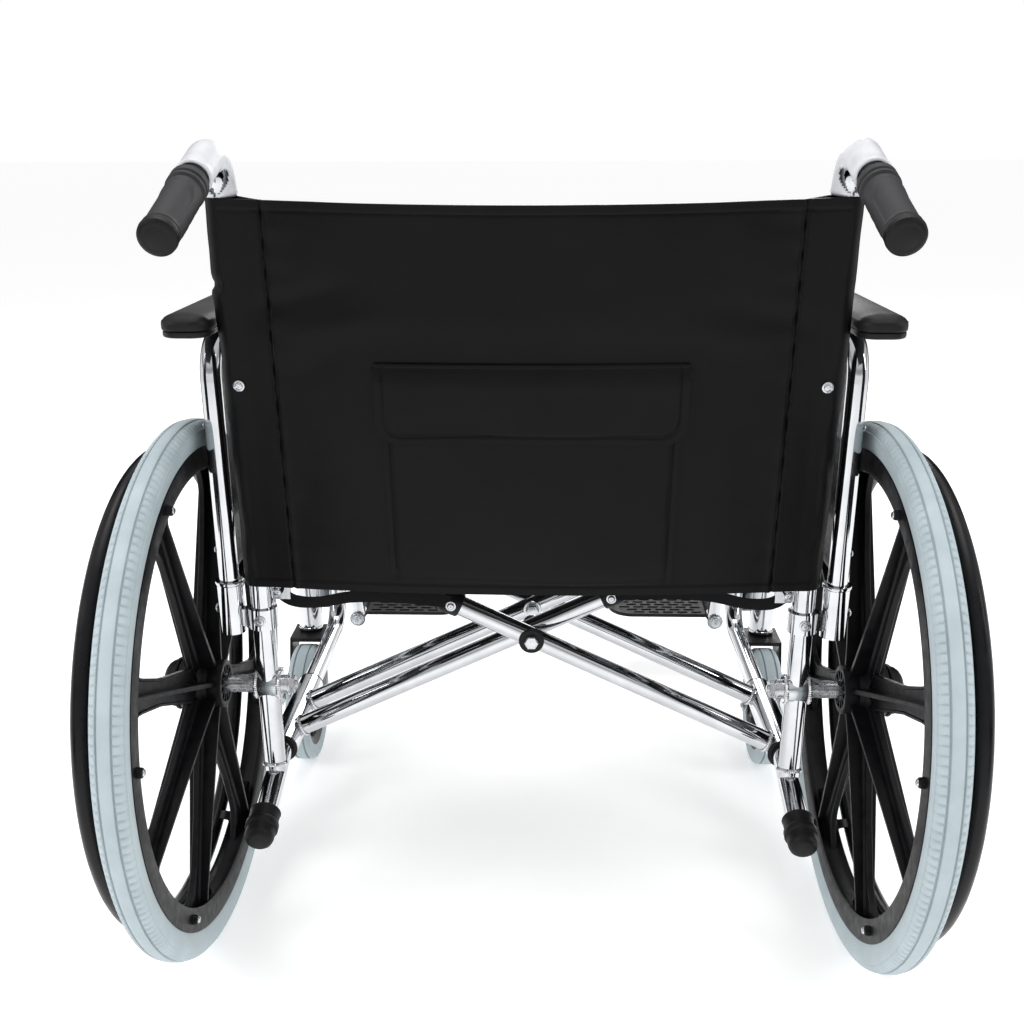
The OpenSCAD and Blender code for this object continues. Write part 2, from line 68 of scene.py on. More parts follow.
def studio_sheet(name, corners, finish):
    mesh = bpy.data.meshes.new(name)
    mesh.from_pydata(corners, [], [range(len(corners))])
    mesh.materials.append(finish)
    card = bpy.data.objects.new(name, mesh)
    bpy.context.scene.collection.objects.link(card)
    return card


floor_light = 0.38
floor_finish, tree, shader = plain_finish("studio_floor", (0.86, 0.86, 0.86), 0.9)
grain = tree.nodes.new("ShaderNodeTexNoise")
grain.inputs["Scale"].default_value = 3
tint = tree.nodes.new("ShaderNodeValToRGB")
tint.color_ramp.elements[0].color = (0.85, 0.85, 0.85, 1)
tint.color_ramp.elements[1].color = (0.88, 0.88, 0.88, 1)
tree.links.new(grain.outputs["Fac"], tint.inputs["Fac"])
tree.links.new(tint.outputs["Color"], shader.inputs["Base Color"])
shader.inputs["Specular IOR Level"].default_value = 0.1
shader.inputs["Emission Color"].default_value = (1, 1, 1, 1)
shader.inputs["Emission Strength"].default_value = floor_light
reach = 60
studio_sheet("studio_floor", [(-reach, -reach, 0), (reach, -reach, 0), (reach, reach, 0), (-reach, reach, 0)],
             floor_finish)

card_finish, tree, shader = plain_finish("studio_card", (0.012, 0.012, 0.014), 1)
shader.inputs["Specular IOR Level"].default_value = 0
for name, x, y, width, tall in (("card_near_left", -1.5, -1.1, 0.9, 2.2),
                                ("card_near_right", 1.5, -1.1, 0.9, 2.2),
                                ("card_far_left", -1.6, 1.5, 1.2, 2.2),
                                ("card_far_right", 1.6, 1.5, 1.2, 2.2)):
    turn = math.atan2(-x, y)
    dx, dy = width / 2 * math.cos(turn), width / 2 * math.sin(turn)
    card = studio_sheet(name, [(x - dx, y - dy, 0.02), (x + dx, y + dy, 0.02),
                               (x + dx, y + dy, tall), (x - dx, y - dy, tall)], card_finish)
    card.visible_camera = False
    card.visible_shadow = False
    card.visible_diffuse = False

sky = bpy.context.scene.world or bpy.data.worlds.new("studio")
bpy.context.scene.world = sky
sky.use_nodes = True
tree = sky.node_tree
tree.nodes.clear()
spot = tree.nodes.new("ShaderNodeTexCoord")
parts = tree.nodes.new("ShaderNodeSeparateXYZ")
bands = tree.nodes.new("ShaderNodeValToRGB")
tree.links.new(spot.outputs["Generated"], parts.inputs["Vector"])
tree.links.new(parts.outputs["Z"], bands.inputs["Fac"])
steps = ((0.0, 1.0), (0.14, 1.0), (0.2, 0.5), (0.32, 0.36), (0.46, 0.66), (1.0, 0.75))
while len(bands.color_ramp.elements) < len(steps):
    bands.color_ramp.elements.new(0.5)
for element, (place, bright) in zip(bands.color_ramp.elements, steps):
    element.position = place
    element.color = (bright, bright, bright, 1)
glow = tree.nodes.new("ShaderNodeBackground")
glow.inputs["Strength"].default_value = 1.0
world_out = tree.nodes.new("ShaderNodeOutputWorld")
tree.links.new(bands.outputs["Color"], glow.inputs["Color"])
tree.links.new(glow.outputs["Background"], world_out.inputs["Surface"])

for name, place, aim, width, tall, watts in (
        ("lamp_left", (-2.6, -1.6, 2.2), (0, 0, 0.5), 1.2, 1.6, 40),
        ("lamp_right", (2.8, -1.2, 2.0), (0, 0, 0.5), 0.9, 1.6, 28),
        ("lamp_over", (0, 0.3, 3.4), (0, 0, 0.4), 2.4, 2.0, 44),
        ("lamp_front", (0.4, 3.2, 1.8), (0, 0, 0.4), 1.6, 1.2, 26)):
    lamp = bpy.data.lights.new(name, "AREA")
    lamp.shape = "RECTANGLE"
    lamp.size, lamp.size_y = width, tall
    lamp.energy = watts
    holder = bpy.data.objects.new(name, lamp)
    bpy.context.scene.collection.objects.link(holder)
    holder.location = place
    holder.rotation_euler = (Vector(aim) - Vector(place)).to_track_quat("-Z", "Y").to_euler()

bpy.context.scene.view_settings.view_transform = "Standard"

camera_data = bpy.data.cameras.new("camera")
camera_data.lens = 40.31
camera_data.shift_y = 0.0381
camera = bpy.data.objects.new("camera", camera_data)
bpy.context.scene.collection.objects.link(camera)
axle_y = pivots["wheel_spin_left"][1]
camera.location = (0.0153, axle_y - 1.1896, 0.8943)
camera.rotation_euler = (math.pi / 2 - 0.3424, 0.0031, 0.0295)
bpy.context.scene.camera = camera


# ---- Chromed frame tubes ----
# Round steel tube, bent and welded, then nickel and chrome plated: two side frames, the back
# posts, the folding cross, the armrest frames, their sockets, the brake plates and hangers.

def set_down(name, points, faces, finish, body, slot=None, crease=38):
    mesh = bpy.data.meshes.new(name)
    mesh.from_pydata([tuple(float(c) for c in p) for p in points], [],
                     [tuple(int(i) for i in f) for f in faces])
    shell = bmesh.new()
    shell.from_mesh(mesh)
    bmesh.ops.remove_doubles(shell, verts=shell.verts, dist=1e-6)
    bmesh.ops.recalc_face_normals(shell, faces=shell.faces)
    shell.to_mesh(mesh)
    shell.free()
    mesh.materials.append(finish)
    mesh.shade_smooth()
    mesh.set_sharp_from_angle(angle=math.radians(crease))
    piece = bpy.data.objects.new(name, mesh)
    bpy.context.scene.collection.objects.link(piece)
    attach(piece, body)
    return piece


def rings(rows, around):
    """Faces of a tube of quads through rows of points, each row closed round."""
    return [[i * around + j, i * around + (j + 1) % around,
             (i + 1) * around + (j + 1) % around, (i + 1) * around + j]
            for i in range(rows - 1) for j in range(around)]


def square_to(axis):
    ahead = Vector(axis).normalized()
    across = ahead.cross(Vector((0, 0, 1)) if abs(ahead.z) < 0.9 else Vector((0, 1, 0))).normalized()
    return ahead, across, across.cross(ahead)


def turned(profile, centre, axis, steps=48):
    """Points and faces of a lathed shape; profile is [(along, radius), ...]."""
    ahead, across, up = square_to(axis)
    centre, turns = Vector(centre), [2 * math.pi * i / steps for i in range(steps)]
    points = [centre + ahead * along + (across * math.cos(t) + up * math.sin(t)) * radius
              for along, radius in profile for t in turns]
    return points, rings(len(profile), steps)


def bell(off, width):
    """A soft swelling: 1 where off is nothing, fading over width."""
    return math.exp(-(off / width) ** 2)


def crinkle(*place):
    """Smooth uneven noise at a place, from -1 to 1."""
    return noise.noise(Vector(place))


def mirrored(half):
    """The other half of a symmetrical outline, in running order."""
    return [(-across, along) for across, along in half[::-1]]


def gathered(shapes):
    """Several (points, faces) as one."""
    points, faces = [], []
    for some, around in shapes:
        faces += [[i + len(points) for i in f] for f in around]
        points += list(some)
    return points, faces


def swept(path, radius, steps=16):
    """A round bar along a list of points; radius may be a list."""
    path = [Vector(p) for p in path]
    radii = radius if hasattr(radius, "__len__") else [radius] * len(path)
    points, faces = [], rings(len(path), steps)
    _, across, up = square_to(path[1] - path[0])
    for j, p in enumerate(path):
        ahead = (path[min(j + 1, len(path) - 1)] - path[max(j - 1, 0)]).normalized()
        across = (across - ahead * across.dot(ahead)).normalized()
        up = ahead.cross(across)
        points += [p + (across * math.cos(2 * math.pi * i / steps) +
                        up * math.sin(2 * math.pi * i / steps)) * radii[j]
                   for i in range(steps)]
    faces += [list(range(steps))[::-1], list(range((len(path) - 1) * steps, len(path) * steps))]
    return points, faces


def pattern(tree, kind, scale):
    """A texture node placed in the piece's own coordinates."""
    node = tree.nodes.new(kind)
    node.inputs["Scale"].default_value = scale
    place = tree.nodes.new("ShaderNodeTexCoord")
    tree.links.new(place.outputs["Object"], node.inputs["Vector"])
    return node


def relief(tree, height, strength, distance):
    """The normal of a bump raised on a height."""
    node = tree.nodes.new("ShaderNodeBump")
    node.inputs["Strength"].default_value = strength
    node.inputs["Distance"].default_value = distance
    tree.links.new(height, node.inputs["Height"])
    return node.outputs["Normal"]


def weathered(tree, shader, scale, rough, dark, light, bump=0.0, depth=0.001):
    """Uneven gloss, an uneven tone and a fine relief for a finish."""
    nodes, links = tree.nodes, tree.links
    cloud = pattern(tree, "ShaderNodeTexNoise", scale)
    cloud.inputs["Detail"].default_value = 6
    gloss = nodes.new("ShaderNodeMapRange")
    gloss.inputs["From Min"].default_value, gloss.inputs["From Max"].default_value = 0.3, 0.7
    gloss.inputs["To Min"].default_value, gloss.inputs["To Max"].default_value = rough
    links.new(cloud.outputs["Fac"], gloss.inputs["Value"])
    links.new(gloss.outputs["Result"], shader.inputs["Roughness"])
    tone = nodes.new("ShaderNodeValToRGB")
    tone.color_ramp.elements[0].position, tone.color_ramp.elements[1].position = 0.3, 0.72
    tone.color_ramp.elements[0].color = (*dark, 1)
    tone.color_ramp.elements[1].color = (*light, 1)
    links.new(cloud.outputs["Fac"], tone.inputs["Fac"])
    links.new(tone.outputs["Color"], shader.inputs["Base Color"])
    if bump:
        links.new(relief(tree, cloud.outputs["Fac"], bump, depth), shader.inputs["Normal"])


def worn_finish(name, colour, roughness, scale, rough, dark, light, bump=0.0, depth=0.001, metallic=0,
                specular=0.5):
    """A plain finish with its wear; rough is the range of its gloss, dark and light that of its tone."""
    finish, tree, shader = plain_finish(name, colour, roughness)
    shader.inputs["Metallic"].default_value = metallic
    shader.inputs["Specular IOR Level"].default_value = specular
    weathered(tree, shader, scale, rough, dark, light, bump, depth)
    return finish, tree, shader


chrome_plate, tree, shader = worn_finish("chrome_plate", (0.8, 0.81, 0.83), 0.06, 26, (0.035, 0.11),
                                         (0.58, 0.59, 0.61), (0.7, 0.71, 0.73), 0.05, 0.0004, metallic=1)

zinc_plate, tree, shader = worn_finish("zinc_plate", (0.62, 0.63, 0.65), 0.25, 240, (0.16, 0.34),
                                       (0.52, 0.53, 0.56), (0.72, 0.73, 0.75), 0.15, 0.0003, metallic=1)

weld_metal, tree, shader = worn_finish("plated_weld", (0.7, 0.71, 0.73), 0.2, 420, (0.12, 0.3),
                                       (0.58, 0.59, 0.61), (0.78, 0.79, 0.81), 0.4, 0.0006, metallic=1)


def dress(node, finish):
    mesh = cad[node].data
    mesh.materials.clear()
    mesh.materials.append(finish)
    return cad[node]


for side, k in sides:
    for part in ("side_frame", "back_post", "arm_socket_rear", "arm_socket_front", "arm_frame",
                 "brake_bracket",
                 "hanger"):
        dress(f"{part}_{side}", chrome_plate)

frame_x, tube_r, rail_z, top_z = 0.303, 0.0125, 0.198, 0.42
lean_z, lean_sin, lean_cos = 0.426, 0.07584, 0.99712


def on_back(x, y, z):
    """A point given square to the leaning back posts, z measured up them from the bend."""
    return Vector((x, y * lean_cos - z * lean_sin + axle_y, y * lean_sin + z * lean_cos + lean_z))


def weld_ring(centre, axis, radius, bead=0.0019, ripples=44):
    """A run of weld round a tube, with its ripples."""
    ahead, across, up = square_to(axis)
    centre = Vector(centre)
    around, ring = 6, ripples * 2
    points, faces = [], []
    for i in range(ring):
        t = 2 * math.pi * i / ring
        out = across * math.cos(t) + up * math.sin(t)
        thick = bead * (1.0 if i % 2 else 0.72)
        for j in range(around):
            s = 2 * math.pi * j / around
            points.append(centre + out * (radius + thick * math.cos(s)) + ahead * thick * math.sin(s) * 1.3)
    for i in range(ring):
        for j in range(around):
            n, m = (i + 1) % ring, (j + 1) % around
            faces.append([i * around + j, n * around + j, n * around + m, i * around + m])
    return points, faces


for side, k in sides:
    x = k * frame_x
    beads = [weld_ring((x + s * (tube_r + 0.0005), axle_y, 0.305), (1, 0, 0), 0.0155) for s in (-1, 1)]
    beads.append(weld_ring((x, axle_y - 0.0006, rail_z + 0.0035), (0, 0.28, 0.96), tube_r + 0.0006))
    beads.append(weld_ring((x, axle_y + tube_r + 0.0006, top_z), (0, 1, 0), tube_r + 0.0004))
    set_down(f"post_welds_{side}", *gathered(beads), weld_metal, f"{side}_frame", "chrome")


# ---- Bend covers and push grips ----
# The bend of each push handle has a clip-on cover in pale satin plastic, open on its inner
# side. The grip is a dark rubber sleeve with a collar, a recessed palm panel and an end cap.

post_l, handle_l, bend_r, grip_l = (0.884 - lean_z) / lean_cos, 0.159, 0.034, 0.112
bend_z = post_l - bend_r
droop_sin, droop_cos = 0.28, 0.96


def on_handle(x, y, z):
    """A point given along the drooping straight end of a push handle, y towards the bend."""
    return on_back(x, -0.001 - bend_r * (1 + droop_sin) + y * droop_cos - z * droop_sin,
                   bend_z + bend_r * droop_cos + y * droop_sin + z * droop_cos)


pale_plastic, tree, shader = worn_finish("pale_plastic", (0.6, 0.61, 0.64), 0.35, 60, (0.28, 0.42),
                                         (0.56, 0.57, 0.6), (0.66, 0.67, 0.7), 0.12, 0.0003)
shader.inputs["Coat Weight"].default_value = 0.15

grip_rubber, tree, shader = worn_finish("grip_rubber", (0.05, 0.05, 0.053), 0.6, 700, (0.5, 0.68),
                                        (0.022, 0.022, 0.024), (0.036, 0.036, 0.039), 0.35, 0.0004,
                                        specular=0.25)
cap_rubber, tree, shader = worn_finish("cap_rubber", (0.012, 0.012, 0.013), 0.5, 500, (0.38, 0.56),
                                       (0.004, 0.004, 0.0045), (0.009, 0.009, 0.01), 0.3, 0.0004,
                                       specular=0.2)


def bend_cover(x):
    rows, around, swing = 34, 44, math.pi / 2 + math.asin(droop_sin)
    points = []
    for i in range(rows + 1):
        s = i / rows
        run = -0.004 + s * (bend_r * swing + 0.046)
        t = min(max(run / bend_r, 0), swing)
        y, z = -bend_r + bend_r * math.cos(t), bend_z + bend_r * math.sin(t)
        if run < 0:
            z += run
        past = max(run - bend_r * swing, 0)
        y, z = y - past * math.sin(t), z + past * math.cos(t)
        lip = 0.0007 * (bell(s - 0.03, 0.02) + bell(s - 0.97, 0.02))
        radius = tube_r + 0.004 + lip - 0.0006 * (i in (0, rows))
        for j in range(around):
            a = 2 * math.pi * j / around
            points.append(on_back(x + radius * math.sin(a), y + math.cos(t) * radius * math.cos(a),
                                  z + math.sin(t) * radius * math.cos(a)))
    # the inner side of the shell is open over the lower part of the bend
    open_rows, open_half = rows * 0.62, 8
    faces = [face for q, face in enumerate(rings(rows + 1, around))
             if q // around >= open_rows or abs(q % around + 0.5 - around / 2) >=
             open_half * math.sin(math.pi * min(1, (q // around + 1) / open_rows))]
    return points, faces


def push_grip(x):
    """The grip sleeve as rings of points, each at a distance d from its outer end."""
    steps = 96
    collar_at = [0.095, 0.096, 0.0972, 0.0984, 0.1, 0.1035, 0.1045, 0.1056, 0.1068, 0.1085, 0.116, 0.1176,
                 0.118]
    stations = [0.0005, 0.002, 0.004, 0.0075, 0.0082, 0.0095, 0.0102, 0.012, 0.015]
    stations += list(np.linspace(0.018, 0.086, 36)) + [grip_l - 0.118 + d for d in collar_at]
    points = []
    for d in stations:
        for j in range(steps):
            a = 2 * math.pi * j / steps - math.pi
            radius = tube_r + 0.0042
            if d < 0.016:
                radius -= 0.0012 * bell(d - 0.01, 0.0009)
            collar = d - grip_l + 0.118
            if 0.0955 <= collar <= 0.0985 or 0.104 <= collar <= 0.107:
                radius -= 0.0011
            elif collar > 0.0985:
                radius += 0.0012
            if collar > 0.1165:
                radius -= 0.001
            if d < 0.003:
                radius -= 0.0008
            # palm panel: a flat-edged recess on the top, its end rounded towards the collar
            over = abs(a) / 1.25
            panel = over ** 2 + (max(d - 0.058, 0) / 0.026) ** 2
            if 0.014 < d < 0.086 and panel < 1:
                radius -= 0.0009 * min((1 - panel) / 0.12, 1)
            # fine finger ribs underneath
            if abs(a) > 1.9 and 0.02 < d < 0.085:
                radius += 0.0006 * math.cos((d - 0.02) * 2 * math.pi / 0.0065)
            points.append(on_handle(x + radius * math.sin(a), -handle_l - 0.005 + d, radius * math.cos(a)))
    return points, rings(len(stations), steps)


for side, k in sides:
    x = k * frame_x
    cover = set_down(f"bend_cover_{side}", *bend_cover(x), pale_plastic, f"{side}_frame", "elbow")
    walled = cover.modifiers.new("wall", "SOLIDIFY")
    walled.thickness, walled.offset = 0.0016, -1
    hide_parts(f"elbow_{side}")
    sleeve = set_down(f"push_grip_{side}", *push_grip(x), grip_rubber, f"{side}_frame", "grip", 30)
    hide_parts(f"grip_{side}")
    end_out = on_handle(x, -handle_l - 0.005, 0)
    inward = on_handle(x, -handle_l, 0) - end_out
    cap = turned([(0.0092, 0.0158), (0.0086, 0.0168), (0.0045, 0.0172), (0.001, 0.0168), (-0.0008, 0.015),
                  (-0.0016, 0.012), (-0.0014, 0.0105), (-0.0019, 0.0095), (-0.0022, 0.0)], end_out, inward,
                  64)
    set_down(f"grip_end_{side}", *cap, cap_rubber, f"{side}_frame", "grip")


# ---- Tip lever caps ----
# A moulded rubber ferrule pushed onto each tip lever, with a raised band and a closed end.

lever_sin, lever_cos = 0.28, 0.96
lever_y = 0.04 - 0.127 * lever_cos - 0.05 * lever_sin
lever_z = rail_z - 0.127 * lever_sin - 0.05 * (1 - lever_cos)
for side, k in sides:
    profile = [(-0.0062, 0.0), (-0.006, 0.0105), (-0.0052, 0.0128), (-0.003, 0.015), (0.0005, 0.0162)]
    profile += [(0.003 + 0.0016 * i, 0.0166 - (0.0004 if i % 2 else 0)) for i in range(5)]
    profile += [(0.0115, 0.0166), (0.012, 0.0178), (0.0132, 0.0186), (0.0205, 0.0186), (0.0218, 0.0178),
                (0.0222, 0.0168), (0.03, 0.017), (0.036, 0.0172), (0.0372, 0.0178), (0.038, 0.0172),
                (0.0381, 0.0128)]
    cap = set_down(f"tip_ferrule_{side}", *turned(profile, (k * frame_x, lever_y + axle_y, lever_z),
                                                  (0, lever_cos, lever_sin), 56), cap_rubber, f"{side}_frame",
                                                  "grip")
    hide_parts(f"tip_cap_{side}")


# ---- Back upholstery ----
# One width of black leathercloth, sleeved over both posts. Each sleeve is closed by a stitched
# seam and held by a pan-head screw into the post. Top and bottom edges are turned under.

black_vinyl, tree, shader = worn_finish("black_leathercloth", (0.008, 0.008, 0.009), 0.42, 9, (0.3, 0.44),
                                        (0.0026, 0.0026, 0.0029), (0.005, 0.005, 0.0055), specular=0.11)
pebble = pattern(tree, "ShaderNodeTexVoronoi", 780)
crumple = pattern(tree, "ShaderNodeTexNoise", 130)
crumple.inputs["Detail"].default_value = 8
first = relief(tree, pebble.outputs["Distance"], 0.22, 0.0005)
second = relief(tree, crumple.outputs["Fac"], 0.1, 0.0012)
tree.links.new(first, second.node.inputs["Normal"])
tree.links.new(second, shader.inputs["Normal"])

black_thread, tree, shader = worn_finish("black_thread", (0.01, 0.01, 0.011), 0.6, 2600, (0.5, 0.75),
                                         (0.003, 0.003, 0.0035), (0.007, 0.007, 0.008), 0.5, 0.0002,
                                         specular=0.1)


def shell_faces(rows, columns):
    """Faces of a closed shell: a grid of points, the same grid again behind it, and the rim between."""
    n, faces = rows * columns, []
    for i in range(rows - 1):
        for j in range(columns - 1):
            a = i * columns + j
            faces.append([a, a + 1, a + columns + 1, a + columns])
            faces.append([n + a, n + a + columns, n + a + columns + 1, n + a + 1])
    rim = list(range(columns)) + [i * columns + columns - 1 for i in range(1, rows)]
    rim += [(rows - 1) * columns + j for j in range(columns - 2, -1, -1)]
    rim += [i * columns for i in range(rows - 2, 0, -1)]
    return faces + [[p, n + p, n + q, q] for p, q in zip(rim, rim[1:] + rim[:1])]


def thick_sheet(grid, thick):
    """A closed shell on a grid of points: the grid is its outer face, thick its depth behind it."""
    grid = np.asarray(grid, float)
    rows, columns = grid.shape[:2]
    normal = np.cross(np.gradient(grid, axis=1), np.gradient(grid, axis=0))
    normal /= np.maximum(np.linalg.norm(normal, axis=2, keepdims=True), 1e-12)
    depth = np.broadcast_to(np.asarray(thick, float), (rows, columns))[..., None]
    under = grid - normal * depth
    points = np.concatenate([grid.reshape(-1, 3), under.reshape(-1, 3)])
    return points, shell_faces(rows, columns)


def stitches(line, pitch=0.0034, radius=0.00034, lift=None):
    """A row of short thread stitches that dips into the cloth between them."""
    line = [Vector(p) for p in line]
    spans = [(q - p).length for p, q in zip(line, line[1:])]
    total, shapes, d = sum(spans), [], pitch * 0.3

    def along(d):
        for p, q, span in zip(line, line[1:], spans):
            if d <= span or span == spans[-1] and q is line[-1]:
                return p.lerp(q, min(max(d / span, 0), 1))
            d -= span
        return line[-1]
    lift = Vector(lift if lift is not None else (0, -0.0004, 0))
    while d + pitch * 0.66 < total:
        ends = [along(d + pitch * 0.66 * s) for s in (0, 0.2, 0.8, 1)]
        path = [ends[0] - lift * 1.2, ends[1] + lift * 0.4, ends[2] + lift * 0.4, ends[3] - lift * 1.2]
        shapes.append(swept(path, [radius * 0.7, radius, radius, radius * 0.7], 6))
        d += pitch
    return gathered(shapes)


back_h, sleeve_r, seam_x, back_low = 0.414, tube_r + 0.0034, 0.262, 0.007
bow_w = frame_x - sleeve_r


def back_bow(x, z):
    """How far the back panel hangs rearwards of the posts' plane, with its slack and its folds."""
    u = min(abs(x) / bow_w, 1)
    low = 1 - z / back_h
    sag = 0.0165 * (1 - u ** 2) * (0.55 + 0.45 * math.sin(math.pi * (0.15 + 0.7 * low)))
    folds = 0.0
    for fx, fz, wx, wz, tilt, deep in (
            (-0.235, 0.318, 0.05, 0.011, 0.25, -0.003), (-0.2, 0.292, 0.06, 0.014, 0.18, 0.0026),
            (-0.228, 0.245, 0.03, 0.018, 0.5, -0.0016), (0.238, 0.3, 0.045, 0.012, -0.22, -0.002),
            (0.205, 0.28, 0.055, 0.016, -0.2, 0.0018), (-0.05, 0.3, 0.15, 0.02, 0.02, 0.0012),
            (0.1, 0.27, 0.12, 0.016, -0.03, -0.001), (-0.236, 0.13, 0.02, 0.06, 0.3, -0.0014),
            (0.23, 0.15, 0.022, 0.07, -0.2, -0.0014), (-0.216, 0.4, 0.03, 0.03, 0.8, -0.0012),
            (0.22, 0.405, 0.03, 0.026, -0.8, -0.0012), (-0.12, 0.415, 0.07, 0.016, 0.1, 0.001),
            (0.14, 0.04, 0.08, 0.016, 0.12, 0.0012), (-0.17, 0.05, 0.06, 0.018, -0.15, 0.0012)):
        dx, dz = x - fx, z - fz - tilt * (x - fx)
        folds += deep * math.exp(-(dx / wx) ** 2 - (dz / wz) ** 2)
    # puckers that run out of each seam
    for s in (-1, 1):
        gapx = seam_x - s * x
        if 0 < gapx < 0.05:
            ripple = math.sin(z * 2 * math.pi / 0.034 + 1.3 * s + 2 * math.sin(z * 17))
            folds += 0.0009 * math.exp(-gapx / 0.016) * ripple
    folds += 0.001 * crinkle(x * 9, z * 7, 3.1) + 0.0005 * crinkle(x * 26, z * 22, 8.7)
    return -(sag + sleeve_r * 0.96) - folds * min(1, (1 - u) * 9 + 0.25)


def sleeve_path(side_sign):
    """Across the cloth from the seam, behind the panel and round the front of the post, as (x, y)."""
    path = []
    leave = math.radians(130)
    foot_x, foot_y = frame_x + sleeve_r * math.cos(leave), sleeve_r * math.sin(leave)
    for i in range(9):
        s = i / 9
        path.append((side_sign * (seam_x + (foot_x - seam_x) * s), -0.0138 + (foot_y + 0.0138) * s))
    for i in range(22):
        t = leave - (leave + math.pi / 2) * i / 22
        path.append((side_sign * (frame_x + sleeve_r * math.cos(t)), sleeve_r * math.sin(t)))
    return path


rows = np.concatenate([np.linspace(0, 0.014, 9)[:-1], np.linspace(0.014, back_h - 0.014, 92),
                       np.linspace(back_h - 0.014, back_h, 9)[1:]])
back_grid, back_thick = [], []
middle = [-v for v in np.concatenate([np.linspace(frame_x, seam_x + 0.004, 12),
                                      np.linspace(seam_x + 0.004, seam_x - 0.006, 13)[1:],
                                      np.linspace(seam_x - 0.006, 0, 60)[1:]])]
middle += [-v for v in middle[-2::-1]]
for z in rows:
    line = []
    for x, y in sleeve_path(-1):
        line.append((x, y, 0))
    for x in middle:
        y = back_bow(x, z)
        y += 0.0016 * bell(abs(x) - seam_x, 0.0013)
        y -= 0.0011 * bell(abs(x) - seam_x + 0.0042, 0.002)
        line.append((x, y, 1))
    for x, y in sleeve_path(1)[::-1]:
        line.append((x, y, 0))
    end = min(z, back_h - z)
    hem = 0.0009 * (1 - bell(max(0.012 - end, 0), 0.002)) - 0.0011 * bell(end - 0.0105, 0.0011)
    row = []
    for x, y, flat_part in line:
        u = min(abs(x) / frame_x, 1)
        drop = 0.0055 * (1 - u ** 2) * (z / back_h) ** 6 + 0.0016 * (1 - u ** 2) * (1 - z / back_h) ** 8
        crush = 0.0016 * crinkle(x * 14, z * 30, 5.0 + y * 60) if not flat_part else 0
        notch = (0.003 * bell(z - 0.33, 0.006) - 0.002 * bell(z - 0.322, 0.005)) * (x < -0.306)
        push = 1 - (crush + notch) / sleeve_r if not flat_part else 1
        px = x if flat_part else math.copysign(frame_x, x) + (x - math.copysign(frame_x, x)) * push
        py = y * push if not flat_part else y - hem
        row.append(on_back(px, py, back_low + z - drop))
    back_grid.append(row)
    back_thick.append([0.0016 + (0.001 if end < 0.011 else 0)] * len(row))
back_grid, back_thick = np.array(back_grid), np.array(back_thick)
# the cloth parts at its seams: each sleeve goes with its post, and the panel between goes with the left frame
seam_at = len(sleeve_path(-1)) + 16
last = back_grid.shape[1] - 1
sleeve_w = 2 * (frame_x - seam_x) + sleeve_r * math.radians(220)
for name, first_column, last_column, body, flat_w, holders in (
        ("back_sleeve_left", 0, seam_at, "left_frame", sleeve_w, ["back_post_left"]),
        ("back_sleeve_right", last - seam_at, last, "right_frame", sleeve_w, ["back_post_right"]),
        ("back_upholstery", seam_at, last - seam_at, "left_frame", 2 * seam_x,
         ["back_sleeve_left", "back_sleeve_right"])):
    columns = slice(first_column, last_column + 1)
    back_cloth = set_down(name, *thick_sheet(back_grid[:, columns], back_thick[:, columns]), black_vinyl,
                          body, "vinyl", 60)
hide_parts("back_sling")
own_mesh(back_cloth)

seams = []
for s in (-1, 1):
    for off in (-0.0042, 0.003):
        x = s * (seam_x + off)
        seams.append(stitches([on_back(x, back_bow(x, z) - (0.0012 if off < 0 else 0.0003), back_low + z)
                               for z in np.linspace(0.004, back_h - 0.004, 90)]))
for z in (0.0105, back_h - 0.0105):
    seams.append(stitches([on_back(x, back_bow(x, z) + 0.0008,
                                   back_low + z - 0.0055 * (1 - (x / frame_x) ** 2) * (z / back_h) ** 6)
                           for x in np.linspace(-0.25, 0.25, 120)]))
thread = set_down("back_stitching", *gathered(seams), black_thread, "left_frame", "vinyl")
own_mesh(thread)


def pan_head(centre, axis, radius, tall, body, name, washer=0.0):
    """A cross-recess screw on its washer."""
    ahead, across, up = square_to(axis)
    centre = Vector(centre)
    shapes = []
    if washer:
        shapes.append(turned([(-0.0004, 0), (-0.0004, washer), (0.0006, washer), (0.0008, washer - 0.0003),
                              (0.0008, radius * 0.6)], centre, axis, 32))
    crown = [(0.0006, 1.0), (tall * 0.45, 0.98), (tall * 0.75, 0.84), (tall * 0.95, 0.6), (tall, 0.4)]
    recess = [(tall * 0.98, radius * 0.3), (tall * 0.45, radius * 0.16), (tall * 0.45, 0)]
    shapes.append(turned([(h, radius * r) for h, r in crown] + recess, centre, axis, 32))
    for turn in (0, 1):
        a, b = (across, up) if turn else (up, across)
        w, l = radius * 0.1, radius * 0.55
        shapes.append(([centre + ahead * (tall * 1.015) + a * sa * l + b * sb * w
                        for sa, sb in ((-1, -1), (1, -1), (1, 1), (-1, 1))],
                       [[0, 1, 2, 3]]))
    return set_down(name, *gathered(shapes), zinc_plate, body, "fastener")


for side, k in sides:
    z = 0.229
    head = on_back(k * 0.2995, -sleeve_r - 0.0012, back_low + z)
    pan_head(head, (0, -lean_cos, -lean_sin), 0.0042, 0.0026, f"{side}_frame", f"sleeve_screw_{side}",
             washer=0.0058)


# ---- Rear pocket and its flap ----
# A leathercloth pouch sewn to the back on three sides, with a separate flap stitched across its
# mouth. The flap has rounded lower corners and a line of stitching just inside its edge.

pocket_w, pocket_h, pocket_low, flap_h, flap_w = 0.306, 0.236, 0.013, 0.083, 0.318


